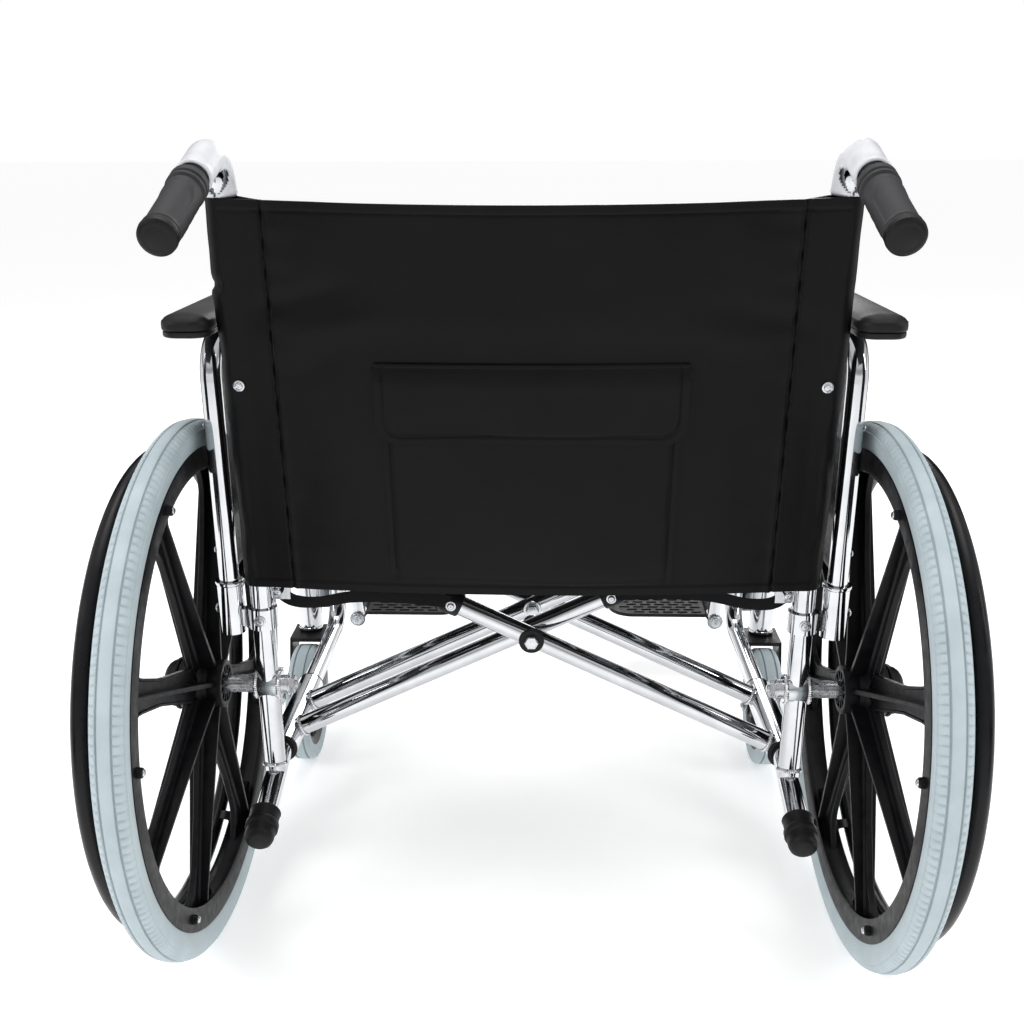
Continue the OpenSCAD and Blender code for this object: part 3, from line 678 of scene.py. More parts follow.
def pocket_rise(x, z):
    """Height of the pouch off the back panel."""
    u = min(1, abs(x) / (pocket_w / 2))
    v = z / pocket_h
    body = (1 - u ** 6) * min(1, v * 14) ** 0.5
    fold = 0.001 * crinkle(x * 20, z * 16, 1.7) + 0.0007 * math.sin(z * 60 + x * 21) * bell(u - 0.8, 0.2)
    edge = 0.0008 * bell((1 - u) * pocket_w / 2, 0.002)
    return 0.0014 + 0.003 * body * (0.6 + 0.4 * math.sin(math.pi * min(v, 1))) + fold * body + edge


def on_panel(x, z, rise):
    return on_back(x, back_bow(x, z) - 0.0012 - rise, back_low + z)


columns = np.concatenate([[-1, -0.992, -0.984, -0.974, -0.962], np.linspace(-0.945, 0.945, 66),
                          [0.962, 0.974, 0.984, 0.992, 1]])
levels = np.concatenate([[0, 0.006, 0.012, 0.02, 0.03], np.linspace(0.045, 0.965, 50), [0.98, 0.99, 1.0]])
pouch_grid = []
for v in levels:
    line = []
    for u in columns:
        z = pocket_low + v * pocket_h - 0.0016 * math.sin(u * 2.4 + 0.6)
        lean_in = 1 - 0.012 * (1 - v)
        x = u * pocket_w / 2 * lean_in
        side_dip = 0.0014 * bell((1 - abs(u)) * pocket_w / 2 - 0.0058, 0.0012)
        foot_dip = 0.0014 * bell(v * pocket_h - 0.0058, 0.0012)
        off_panel = pocket_rise(u * pocket_w / 2, v * pocket_h) - max(side_dip, foot_dip) + 0.0002
        line.append(on_panel(x, z, off_panel))
    pouch_grid.append(line)
pouch = set_down("rear_pocket", *thick_sheet(pouch_grid, 0.0011), black_vinyl, "left_frame", "vinyl", 60)
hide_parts("pocket")
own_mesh(pouch)

flap_top = pocket_low + 0.243
flap_round = 0.026


def flap_edge(u, v):
    """x and z of the flap, its lower corners rounded: u from -1 to 1, v from 0 at the foot to 1."""
    half, x = flap_w / 2, u * flap_w / 2
    reach_x = max(abs(x) - (half - flap_round), 0)
    low = flap_round - math.sqrt(max(flap_round ** 2 - reach_x ** 2, 0))
    low += 0.002 * math.cos(u * 2.2)
    return x, flap_top - flap_h + low + v * (flap_h - low)


flap_grid, us = [], np.concatenate([-np.cos(np.linspace(0, math.pi / 2, 46)) ** 0.8,
                                    np.cos(np.linspace(math.pi / 2, 0, 46))[1:] ** 0.8])
for v in np.concatenate([[0, 0.012, 0.025, 0.04, 0.06, 0.08, 0.095, 0.11, 0.125], np.linspace(0.15, 0.85, 20),
                         [0.88, 0.9, 0.915, 0.93, 0.945, 0.96, 0.975, 0.988, 1.0]]):
    line = []
    for u in us:
        x, z = flap_edge(u, v)
        inset = min((1 - abs(u)) * flap_w / 2, v * (flap_h - 0.002), 0.05)
        from_side, from_foot = flap_w / 2 - abs(x), z - flap_top + flap_h
        if from_side < flap_round and from_foot < flap_round:
            inset = flap_round - math.hypot(flap_round - from_side, flap_round - from_foot)
        lift = 0.0072 - 0.0052 * max(0, (v - 0.72) / 0.28) ** 1.5 + 0.001 * math.sin(u * 5 + 1) * (1 - v)
        lift += 0.0009 * crinkle(x * 16, z * 24, 9.2)
        lift -= 0.0011 * bell(inset - 0.0082, 0.0013)
        if 0.86 < v < 0.99:
            lift -= 0.0012 * bell((1 - v) * flap_h - 0.0045, 0.0012)
        line.append(on_panel(x, z, lift))
    flap_grid.append(line)
flap = set_down("pocket_flap_cloth", *thick_sheet(flap_grid, 0.0018), black_vinyl, "left_frame", "vinyl", 60)
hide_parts("pocket_flap")
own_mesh(flap)

inner, corner_r = 0.0082, flap_round - 0.0082
hw, foot = flap_w / 2 - inner, flap_top - flap_h + inner + 0.0015
line = [(-hw, flap_top - 0.004)] + [(-hw, z) for z in np.linspace(flap_top - 0.01, foot + corner_r, 16)]
line += [(-hw + corner_r * (1 - math.cos(t)), foot + corner_r * (1 - math.sin(t)))
         for t in np.linspace(0, math.pi / 2, 8)[1:]]
line += [(x, foot) for x in np.linspace(-hw + corner_r, hw - corner_r, 60)[1:-1]]
line += [(-x, z) for x, z in line[16 + 7::-1]]
rows_of_thread = [stitches([on_panel(x, z, 0.0067) for x, z in line])]
rows_of_thread.append(stitches([on_panel(x, flap_top - 0.0045, 0.0014)
                                for x in np.linspace(-flap_w / 2 + 0.004, flap_w / 2 - 0.004, 60)]))
edge_x = pocket_w / 2 - 0.0058
mouth, sole = pocket_low + 0.17, pocket_low + 0.006
rows_of_thread.append(stitches([on_panel(-edge_x, z, 0.0006) for z in np.linspace(mouth, sole, 50)] +
                               [on_panel(x, pocket_low + 0.0058, 0.0006)
                                for x in np.linspace(-edge_x, edge_x, 70)] +
                               [on_panel(edge_x, z, 0.0006) for z in np.linspace(sole, mouth, 50)]))
thread = set_down("pocket_stitching", *gathered(rows_of_thread), black_thread, "left_frame", "vinyl")
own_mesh(thread)


# ---- Seat upholstery ----
# A sling of the same leathercloth, doubled, screwed along both seat rails with pan-head screws
# and turned under at its front and back. It hangs a little in the middle.

seat_z, seat_ring, seat_back, seat_front = 0.485, 0.0116, 0.03, 0.416
seat_seam, cloth_over, seat_l, seat_hem = 0.262, 0.003, 0.386, 0.016


def seat_dip(x, y):
    u = min(abs(x) / frame_x, 1)
    v = (y - seat_back) / (seat_front - seat_back)
    hang = 0.015 * (1 - u ** 2) * (0.8 + 0.2 * math.sin(math.pi * v))
    wave = 0.0012 * crinkle(x * 7, y * 11, 2.2) + 0.0009 * math.sin(x * 42) * bell(v - 0.97, 0.06)
    fold = -0.0016 * bell(abs(x) - 0.22 + 0.1 * (y - 0.2), 0.012) * math.sin(math.pi * v)
    return hang + (wave + fold) * (1 - u ** 4)


seat_grid, seat_thick = [], []
depth_rows = np.concatenate([np.linspace(0, seat_hem, 8)[:-1], np.linspace(seat_hem, 0.37, 60),
                             np.linspace(0.37, seat_l, 8)[1:]])
for d in depth_rows:
    y = seat_back + d
    end = min(d, seat_l - d)
    hem = 0.001 * bell(end - 0.0115, 0.0012) - 0.0008 * (end < 0.0105)
    row = []
    for s in (-1, 1):
        # past the top of the rail the cloth turns down on its outer side
        wrap = [(s * (frame_x + (seat_ring + cloth_over) * math.sin(t)),
                 seat_z + (seat_ring + cloth_over) * math.cos(t))
                for t in np.linspace(math.pi * 0.5, 0.05, 9)]
        if s < 0:
            row += wrap
            for x in np.linspace(-frame_x, frame_x, 121)[1:-1]:
                seam = 0.0012 * bell(abs(x) - seat_seam, 0.0014)
                row.append((x, seat_z + seat_ring + cloth_over - seat_dip(x, y) - seam - hem))
        else:
            row += wrap[::-1]
    seat_grid.append([(x, y + axle_y + (0.004 * (abs(x) / frame_x) ** 2 - 0.002) * (1 if d < 0.19 else -1),
                       z) for x, z in row])
    seat_thick.append([0.0024 + (0.0012 if end < 0.011 else 0)] * len(row))
seat_cloth = set_down("seat_upholstery", *thick_sheet(np.array(seat_grid)[:, ::-1], seat_thick), black_vinyl,
                      "seat", "vinyl", 60)
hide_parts("seat_sling")
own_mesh(seat_cloth)
rows_of_thread = []
for s in (-1, 1):
    rows_of_thread.append(stitches([(s * seat_seam, y + axle_y,
                                     seat_z + seat_ring + 0.0022 - seat_dip(seat_seam, y))
                                    for y in np.linspace(seat_back + 0.004, seat_front - 0.004, 60)],
                                    lift=(0, 0, 0.0004)))
for y in (seat_back + 0.0115, seat_front - 0.0115):
    rows_of_thread.append(stitches([(x, y + axle_y, seat_z + seat_ring + 0.0022 - seat_dip(x, y))
                                    for x in np.linspace(-0.258, 0.258, 90)],
                                   lift=(0, 0, 0.0004)))
thread = set_down("seat_stitching", *gathered(rows_of_thread), black_thread, "seat", "vinyl")
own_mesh(thread)
for side, k in sides:
    for i in range(5):
        y = seat_back + 0.03 + i * 0.0815
        pan_head((k * (frame_x - 0.0008), y + axle_y, seat_z + seat_ring + 0.0034), (0, 0, 1), 0.004, 0.0024,
                 "seat" if k < 0 else "cross_a", f"seat_screw_{side}_{i + 1}", washer=0.0056)


# ---- Cross straps ----
# A short black webbing strap from a clevis on each upright to a bolt on the folding cross, to
# stop the cross opening too far. Woven polyester, folded and bolted at both ends.

webbing, tree, shader = worn_finish("black_webbing", (0.016, 0.016, 0.017), 0.75, 300, (0.62, 0.85),
                                    (0.006, 0.006, 0.007), (0.013, 0.013, 0.014), specular=0.1)
across = pattern(tree, "ShaderNodeTexWave", 420)
across.inputs["Distortion"].default_value = 0.6
along = pattern(tree, "ShaderNodeTexWave", 300)
along.bands_direction = "Z"
weave = tree.nodes.new("ShaderNodeMath")
weave.operation = "MAXIMUM"
tree.links.new(across.outputs["Fac"], weave.inputs[0])
tree.links.new(along.outputs["Fac"], weave.inputs[1])
tree.links.new(relief(tree, weave.outputs["Value"], 0.6, 0.0004), shader.inputs["Normal"])

strap_from, strap_x = frame_x - tube_r - 0.004, 0.094
strap_z = rail_z + (frame_x + strap_x) * (seat_z - rail_z) / (2 * frame_x) + 0.005
strap_line = [(0, top_z - 0.003), (-0.011, top_z - 0.014), (-0.025, strap_z + 0.01),
              (-0.047, strap_z + 0.009),
              (-0.083, strap_z + 0.013), (-0.133, strap_z + 0.01), (strap_x - strap_from, strap_z)]


def prism(outline, shift):
    """A flat outline and its copy moved by shift, joined."""
    n = len(outline)
    far = [tuple(a + b for a, b in zip(p, shift)) for p in outline]
    walls = [[i, (i + 1) % n, n + (i + 1) % n, n + i] for i in range(n)]
    return list(outline) + far, [list(range(n)), list(range(n, 2 * n))[::-1]] + walls


def eased(points, n):
    """n points along a smooth curve through the given ones."""
    points = [Vector(p) for p in points]
    ends = [points[0] * 2 - points[1]] + points + [points[-1] * 2 - points[-2]]
    out = []
    for s in np.linspace(0, len(points) - 1.0001, n):
        i, t = int(s), s - int(s)
        p0, p1, p2, p3 = ends[i:i + 4]
        out.append(0.5 * (2 * p1 + (p2 - p0) * t + (2 * p0 - 5 * p1 + 4 * p2 - p3) * t * t +
                          (3 * p1 - p0 - 3 * p2 + p3) * t ** 3))
    return out


for side, k in sides:
    reach_y = (0.058 if side == "left" else 0.085) - 0.0125
    start_y, far = tube_r + 0.001, strap_from - strap_x
    line = eased([(k * (strap_from + dx), start_y + (reach_y - start_y) * (-dx / far) + axle_y, z)
                  for dx, z in strap_line], 60)
    grid = []
    for v in np.linspace(-1, 1, 7):
        row = []
        for i, p in enumerate(line):
            t = i / (len(line) - 1)
            ahead = (line[min(i + 1, 59)] - line[max(i - 1, 0)]).normalized()
            flat_out = Vector((0, -1, 0))
            upward = flat_out.cross(ahead).normalized() * (-k)
            roll = 0.32 * math.sin(math.pi * t) ** 2 * math.sin(3.1 * t)
            edge = upward * math.cos(roll) + flat_out * math.sin(roll)
            row.append(p + edge * v * 0.0076 + flat_out * (0.0004 * (1 - v * v)) + flat_out * 0.0004)
        grid.append(row)
    band = set_down(f"cross_strap_{side}", *thick_sheet(np.array(grid)[:, ::k], 0.0014), webbing,
                    f"{side}_frame", "webbing", 50)
    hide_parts(f"strap_{side}")
    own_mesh(band)
    # clevis on the upright: two cheeks and a bolt through them
    cheek = []
    cx, cz = k * (strap_from + 0.001), top_z - 0.005
    for dy in (-0.0016, 0.0022):
        outline = [(0.014 * -k, 0.009), (0.004 * k, 0.009), (0.011 * k, 0.004), (0.011 * k, -0.004),
                   (0.004 * k, -0.009), (0.014 * -k, -0.009)]
        cheek.append(prism([(cx + u, start_y + dy + axle_y, cz + w) for u, w in outline], (0, 0.0016, 0)))
    set_down(f"strap_clevis_{side}", *gathered(cheek), zinc_plate, f"{side}_frame", "fastener", 30)
    pan_head((cx, start_y - 0.0018 + axle_y, cz), (0, -1, 0), 0.0042, 0.0026, f"{side}_frame",
             f"strap_bolt_{side}")


# ---- Armrests ----
# Padded tops of self-skinned foam on a moulded base, screwed to the armrest tube from below,
# over a black plastic side panel that clips inside the tube. The posts drop into sockets.

pad_skin, tree, shader = worn_finish("pad_skin", (0.014, 0.014, 0.015), 0.5, 14, (0.4, 0.56),
                                     (0.005, 0.005, 0.0055), (0.01, 0.01, 0.011), specular=0.2)
hide = pattern(tree, "ShaderNodeTexVoronoi", 520)
hide.feature = "SMOOTH_F1"
tree.links.new(relief(tree, hide.outputs["Distance"], 0.35, 0.0005), shader.inputs["Normal"])

moulded_black, tree, shader = worn_finish("moulded_black", (0.016, 0.016, 0.018), 0.45, 180, (0.34, 0.5),
                                          (0.005, 0.005, 0.0055), (0.01, 0.01, 0.011), 0.18, 0.0003,
                                          specular=0.2)

arm_x, arm_tube, arm_y1, arm_y2, arm_z = 0.338, 0.011, 0.0, 0.4, 0.7
pad_x, pad_w, pad_from, pad_l = 0.346, 0.05, -0.058, 0.36


def stadium(half, long, corner, n=9):
    """Outline of a rounded rectangle about the middle of its rear edge, counter-clockwise."""
    out = []
    for cx, cy, start in ((half - corner, corner, -math.pi / 2), (half - corner, long - corner, 0),
                          (-half + corner, long - corner, math.pi / 2), (-half + corner, corner, math.pi)):
        out += [(cx + corner * math.cos(start + t), cy + corner * math.sin(start + t))
                for t in np.linspace(0, math.pi / 2, n)]
    return out


def layered(outline_at, levels, x0, y0, z0):
    """A form of stacked outlines, left open at both ends."""
    points = [(x0 + x, y0 + y, z0 + z) for level in levels for x, y, z in outline_at(level)]
    return points, rings(len(levels), len(points) // len(levels))


def pad_outline(level):
    inset, rise = level
    half, long, corner = pad_w / 2 - inset, pad_l - 2 * inset, max(0.0185 - inset, 0.0008)
    ring = stadium(half, long, corner, 10)
    out = []
    for x, y in ring:
        v = y / long
        crown = 0.0016 * math.sin(math.pi * v) if rise > 0.012 else 0
        dip = 0.001 * bell(v - 0.42, 0.16) if rise > 0.018 else 0
        out.append((x, y + inset, rise - 0.0016 * (rise > 0.018) + crown - dip))
    return out


for side, k in sides:
    levels = [(0.013, 0.0066), (0.0016, 0.0068), (0.0004, 0.0076), (0.0000, 0.0095), (0.0000, 0.013),
              (0.0004, 0.016),
              (0.0016, 0.0186), (0.0036, 0.0208), (0.0062, 0.0224), (0.0095, 0.0236), (0.0135, 0.0245),
              (0.018, 0.0251), (0.0225, 0.0253)]
    points, faces = layered(pad_outline, levels, k * pad_x, pad_from + axle_y, arm_z + arm_tube + 0.0004)
    n = len(points) // len(levels)
    top = list(range(len(points) - n, len(points)))
    # the last ring is a narrow slot, closed across
    faces += [[top[i], top[i + 1], top[n - 2 - i], top[n - 1 - i]] for i in range(n // 2 - 1)]
    faces.append(list(range(n))[::-1])
    pad = set_down(f"arm_cushion_{side}", points, faces, pad_skin, f"arm_{side}", "arm_pad", 50)
    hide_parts(f"arm_pad_{side}")

    def base_outline(level):
        inset, rise = level
        ring = stadium(pad_w / 2 - 0.0008 - inset, pad_l - 0.0016 - 2 * inset, max(0.018 - inset, 0.001), 10)
        return [(x, y + 0.0008 + inset, rise) for x, y in ring]
    base = layered(base_outline, [(0.014, 0.0), (0.0022, 0.0), (0.0006, 0.0008), (0.0, 0.0024), (0.0, 0.0056),
                                  (0.001, 0.0064), (0.014, 0.0066)],
                   k * pad_x, pad_from + axle_y, arm_z + arm_tube + 0.0004)
    m = len(base[0]) // 7
    base[1].append(list(range(m))[::-1])
    set_down(f"arm_tray_{side}", *base, moulded_black, f"arm_{side}", "arm_pad", 30)
    for i, y in enumerate((0.06, 0.265)):
        pan_head((k * arm_x, y + axle_y, arm_z - arm_tube - 0.0004), (0, 0, -1), 0.0045, 0.0028,
                 f"arm_{side}",
                 f"arm_screw_{side}_{i + 1}")

# side panel: a thin moulded board with a raised border and shallow flutes
panel_round, panel_low, panel_high = 0.0307, top_z + 0.018, arm_z - arm_tube - 0.0003
for side, k in sides:
    y0, y1 = arm_y1 + arm_tube + 0.0003, arm_y2 - arm_tube - 0.0003

    def panel_point(u, v, face):
        z = panel_low + v * (panel_high - panel_low)
        over = max(0, panel_round - (panel_high - z))
        cut = panel_round - math.sqrt(max(panel_round ** 2 - over ** 2, 0))
        y = y0 + cut + u * (y1 - y0 - 2 * cut)
        edge = min(y - y0 - cut, y1 - cut - y, z - panel_low, panel_high - z)
        t = 0.0011
        if 0.0015 < edge < 0.011:
            t += 0.0009 * min(1, (edge - 0.0012) / 0.002, (0.0118 - edge) / 0.002)
        if edge > 0.022:
            wave = math.cos((z - panel_low) * 2 * math.pi / 0.03)
            t += 0.0007 * max(0, wave) ** 2 * min(1, (edge - 0.022) / 0.01)
        return (k * arm_x + face * t, y + axle_y, z)
    us = np.concatenate([np.linspace(0, 0.05, 9)[:-1], np.linspace(0.05, 0.95, 30),
                         np.linspace(0.95, 1, 9)[1:]])
    vs = np.concatenate([np.linspace(0, 0.06, 10)[:-1], np.linspace(0.06, 0.94, 100),
                         np.linspace(0.94, 1, 10)[1:]])
    outer = [panel_point(u, v, 1) for v in vs for u in us]
    inner = [panel_point(u, v, -1) for v in vs for u in us]
    faces = shell_faces(len(vs), len(us))
    board = set_down(f"side_board_{side}", outer + inner, faces, moulded_black, f"arm_{side}",
                     "black_plastic", 30)
    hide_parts(f"side_panel_{side}")
    for i, (y, z) in enumerate(((arm_y1, 0.47), (arm_y1, 0.61), (arm_y2, 0.47), (arm_y2, 0.61))):
        pan_head((k * (arm_x + arm_tube + 0.0002), y + axle_y, z), (k, 0, 0), 0.0036, 0.0022, f"arm_{side}",
                 f"panel_screw_{side}_{i + 1}")
    # rolled top edge and lock button of each socket, and the bolt of its clamp
    shapes = []
    for y in (arm_y1, arm_y2):
        shapes.append(turned([(0.0, 0.015), (0.0012, 0.0158), (0.003, 0.016), (0.0044, 0.0155),
                              (0.0048, 0.0146), (0.0046, 0.0117)],
                             (k * arm_x, y + axle_y, top_z + 0.0095), (0, 0, 1), 40))
    set_down(f"socket_lips_{side}", *gathered(shapes), chrome_plate, f"{side}_frame", "chrome")
    for i, y in enumerate((arm_y1, arm_y2)):
        pan_head((k * (arm_x + 0.0145), y + axle_y, top_z - 0.02), (k, 0, 0), 0.0052, 0.0034, f"{side}_frame",
                 f"socket_bolt_{side}_{i + 1}", washer=0.0068)
    pan_head((k * frame_x, axle_y - tube_r - 0.0042, top_z - 0.03), (0, -1, 0), 0.005, 0.0032,
             f"{side}_frame",
             f"clamp_bolt_{side}", washer=0.0066)


# ---- Rear tyres ----
# Solid puncture-proof tyres in pale blue-grey rubber: a raised centre rib, two shoulder bands of
# short cross ribs, and smooth walls that tuck into the rim.

pale_rubber, tree, shader = worn_finish("pale_rubber", (0.52, 0.58, 0.61), 0.55, 34, (0.46, 0.62),
                                        (0.41, 0.485, 0.515), (0.48, 0.555, 0.585), 0.25, 0.0004,
                                        specular=0.25)
nodes, links = tree.nodes, tree.links
# painted shade: ambient occlusion darkens the tone in the grooves and tight corners
groove_shade = nodes.new("ShaderNodeAmbientOcclusion")
groove_shade.inputs["Distance"].default_value = 0.004
shaded_tone = nodes.new("ShaderNodeMixRGB")
shaded_tone.blend_type = "MULTIPLY"
shaded_tone.inputs["Fac"].default_value = 0.5
tone = next(n for n in nodes if n.type == "VALTORGB")
links.new(tone.outputs["Color"], shaded_tone.inputs["Color1"])
links.new(groove_shade.outputs["Color"], shaded_tone.inputs["Color2"])
# the painted groove shade, multiplied into the base colour
links.new(shaded_tone.outputs["Color"], shader.inputs["Base Color"])

wheel_r, wheel_x = 0.305, 0.379


def tread():
    """Tyre outline from the inner edge to the outer one: (share, across, radius, ribbed)."""
    spots = [(-1.0, -0.0118, 0.272, 0), (-0.94, -0.014, 0.276, 0), (-0.86, -0.0164, 0.283, 0),
             (-0.78, -0.0174, 0.289, 0),
             (-0.7, -0.0174, 0.2935, 0), (-0.66, -0.0169, 0.2952, 0), (-0.655, -0.0161, 0.2955, 0),
             (-0.64, -0.0156, 0.2972, 1), (-0.56, -0.0142, 0.3001, 1),
             (-0.46, -0.0118, 0.3025, 1), (-0.36, -0.0088, 0.3038, 1), (-0.33, -0.008, 0.3034, 0),
             (-0.31, -0.0074, 0.3026, 0),
             (-0.28, -0.0064, 0.3026, 0), (-0.26, -0.0058, 0.3042, 0), (-0.2, -0.0042, 0.3049, 0),
             (-0.1, -0.0022, 0.305, 0)]
    spots += [(0, 0, 0.305, 0)] + [(-a, -b, c, d) for a, b, c, d in spots[::-1]]
    return spots


ribs = 210
for side, k in sides:
    outline = tread()
    around = ribs * 4
    points, faces = [], []
    for i in range(around):
        t = 2 * math.pi * i / around
        phase = i % 4
        for _, across, radius, ribbed in outline:
            if ribbed:
                radius -= 0.0017 if phase == 0 else 0.0
            points.append((k * wheel_x + across, axle_y + radius * math.cos(t),
                           wheel_r + radius * math.sin(t)))
    n = len(outline)
    for i in range(around):
        m = (i + 1) % around
        for j in range(n - 1):
            faces.append([i * n + j, i * n + j + 1, m * n + j + 1, m * n + j])
        faces.append([i * n + n - 1, i * n, m * n, m * n + n - 1])
    tyre = set_down(f"rear_tyre_{side}", points, faces, pale_rubber, f"wheel_{side}", "tyre", 28)
    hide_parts(f"tyre_{side}")


# ---- Rear wheels ----
# One-piece black nylon mouldings: a deep rim, a barrel hub and eight spokes, each a flat web
# with a rib down both faces that flares into gussets at the rim.

nylon, tree, shader = worn_finish("black_nylon", (0.016, 0.016, 0.019), 0.42, 90, (0.3, 0.48),
                                  (0.0035, 0.0035, 0.0042), (0.007, 0.007, 0.0085), 0.14, 0.0004,
                                  specular=0.16)

spokes = 8


def wheel_rim(k):
    flank = [(-0.01, 0.2505), (-0.0108, 0.2492), (-0.012, 0.249), (-0.013, 0.2508), (-0.0138, 0.256),
             (-0.0142, 0.262), (-0.0146, 0.269), (-0.0143, 0.2738), (-0.0134, 0.2752), (-0.0124, 0.274),
             (-0.0118, 0.2722)]
    shape = flank + mirrored(flank) + [(0.006, 0.253), (0.0, 0.2538), (-0.006, 0.253), flank[0]]
    return turned([(x * k, r) for x, r in shape], (k * wheel_x, axle_y, wheel_r), (1, 0, 0), 160)


def wheel_hub(k):
    shape = [(-0.0262, 0.008), (-0.0262, 0.012), (-0.024, 0.0124), (-0.024, 0.0208), (-0.0262, 0.0212),
             (-0.0268, 0.0224), (-0.0268, 0.0262), (-0.0258, 0.0276), (-0.02, 0.0282),
             (-0.01, 0.0262), (-0.004, 0.0276), (0.0000, 0.032), (0.0015, 0.04), (0.004, 0.044),
             (0.007, 0.044), (0.0088, 0.04), (0.01, 0.033),
             (0.016, 0.0298), (0.0225, 0.0288), (0.024, 0.0276), (0.0243, 0.024), (0.0243, 0.008)]
    return turned([(x * k, r) for x, r in shape], (k * wheel_x, axle_y, wheel_r), (1, 0, 0), 96)


def hub_vanes(k):
    """Radial vanes in the recess of the hub's inner face, twelve of them."""
    shapes = []
    for i in range(12):
        a = 2 * math.pi * (i + 0.5) / 12
        out, turn = Vector((0, math.cos(a), math.sin(a))), Vector((0, -math.sin(a), math.cos(a)))
        foot = Vector((k * wheel_x, axle_y, wheel_r))
        corners = [foot + out * r + turn * w + Vector((-k * x, 0, 0)) for x in (0.0236, 0.0262) for r, w in
                   ((0.0115, -0.0007), (0.0215, -0.0011), (0.0215, 0.0011), (0.0115, 0.0007))]
        shapes.append((corners, [[0, 1, 2, 3], [7, 6, 5, 4], [0, 4, 5, 1], [1, 5, 6, 2], [2, 6, 7, 3],
                                 [3, 7, 4, 0]]))
    return gathered(shapes)


def web_half(r):
    """Half width of a spoke's web at radius r."""
    base = 0.02 - 0.0055 * min(1, max(0, (r - 0.045) / 0.1)) + 0.005 * min(1, max(0, (r - 0.15) / 0.09))
    flare = max(0, (r - 0.205) / 0.047)
    return base + 0.025 * flare ** 2.2


def wheel_spoke(k, turn_to):
    stations = [0.024, 0.03, 0.038, 0.048, 0.06, 0.075, 0.09, 0.11, 0.13, 0.15, 0.17, 0.19, 0.205, 0.215,
                0.224, 0.232, 0.239, 0.245, 0.25, 0.2532]
    points, faces = [], []
    out = Vector((0, math.cos(turn_to), math.sin(turn_to)))
    over = Vector((0, -math.sin(turn_to), math.cos(turn_to)))
    centre = Vector((k * wheel_x, axle_y, wheel_r))
    for r in stations:
        w = web_half(r)
        share = min(max((r - 0.03) / 0.21, 0), 1)
        rib_in = 0.02 - 0.0095 * share ** 0.8
        rib_out = 0.0155 - 0.005 * share
        rib = 0.0026 - 0.0006 * share
        low, high = -0.0018, 0.0052
        lip = 0.0018
        below = [(-w, low + 0.0008), (-w + 0.0008, low), (-w + 0.0026, low), (-w + 0.0034, low + lip),
                 (-rib - 0.002, low + lip), (-rib, low - 0.0004), (-rib, -rib_in + 0.0006),
                 (-rib + 0.0006, -rib_in)]
        above = [(w, high - 0.0008), (w - 0.0008, high), (w - 0.0026, high), (w - 0.0034, high - lip * 0.6),
                 (rib + 0.002, high - lip * 0.6), (rib, high + 0.0006), (rib, rib_out - 0.0006),
                 (rib - 0.0006, rib_out)]
        section = below + mirrored(below) + above + mirrored(above)
        for t, x in section:
            # the foot of each spoke is cut to the curve of the rim
            reach_r = math.sqrt(max(r * r - t * t * (r > 0.24), 0))
            points.append(centre + out * reach_r + over * t + Vector((k * x, 0, 0)))
    n = len(points) // len(stations)
    faces = rings(len(stations), n)
    return points, faces + [list(range(n))[::-1], list(range(len(points) - n, len(points)))]


for side, k in sides:
    shapes = [wheel_rim(k), wheel_hub(k), hub_vanes(k)]
    shapes += [wheel_spoke(k, 2 * math.pi * (i + 0.5) / spokes) for i in range(spokes)]
    wheel = set_down(f"spoked_wheel_{side}", *gathered(shapes), nylon, f"wheel_{side}", "mag", 24)
    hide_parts(f"mag_wheel_{side}")
    dress(f"wheel_axle_{side}", zinc_plate)
    dome = turned([(k * x, r) for x,
                   r in ((0.0243, 0.0286), (0.0243, 0.0298), (0.0262, 0.0302), (0.0275, 0.0296),
                         (0.0282, 0.028), (0.033, 0.0268), (0.0372, 0.024),
                                           (0.0402, 0.02), (0.042, 0.015), (0.0428, 0.0105), (0.0424, 0.0098),
                                           (0.0431, 0.009), (0.0434, 0.0))],
                  (k * wheel_x, axle_y, wheel_r), (1, 0, 0), 72)
    cap = set_down(f"hub_dome_{side}", *dome, nylon, f"wheel_{side}", "mag", 24)
    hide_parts(f"hub_cap_{side}")


# ---- Handrims ----
# A plastic-coated steel ring outside each wheel, carried on six bent tabs, each fixed to the rim
# with a short pan-head screw.

ring_coat, tree, shader = worn_finish("ring_coat", (0.014, 0.014, 0.016), 0.3, 40, (0.22, 0.38),
                                      (0.004, 0.004, 0.005), (0.008, 0.008, 0.0095), 0.08, 0.0005,
                                      specular=0.2)

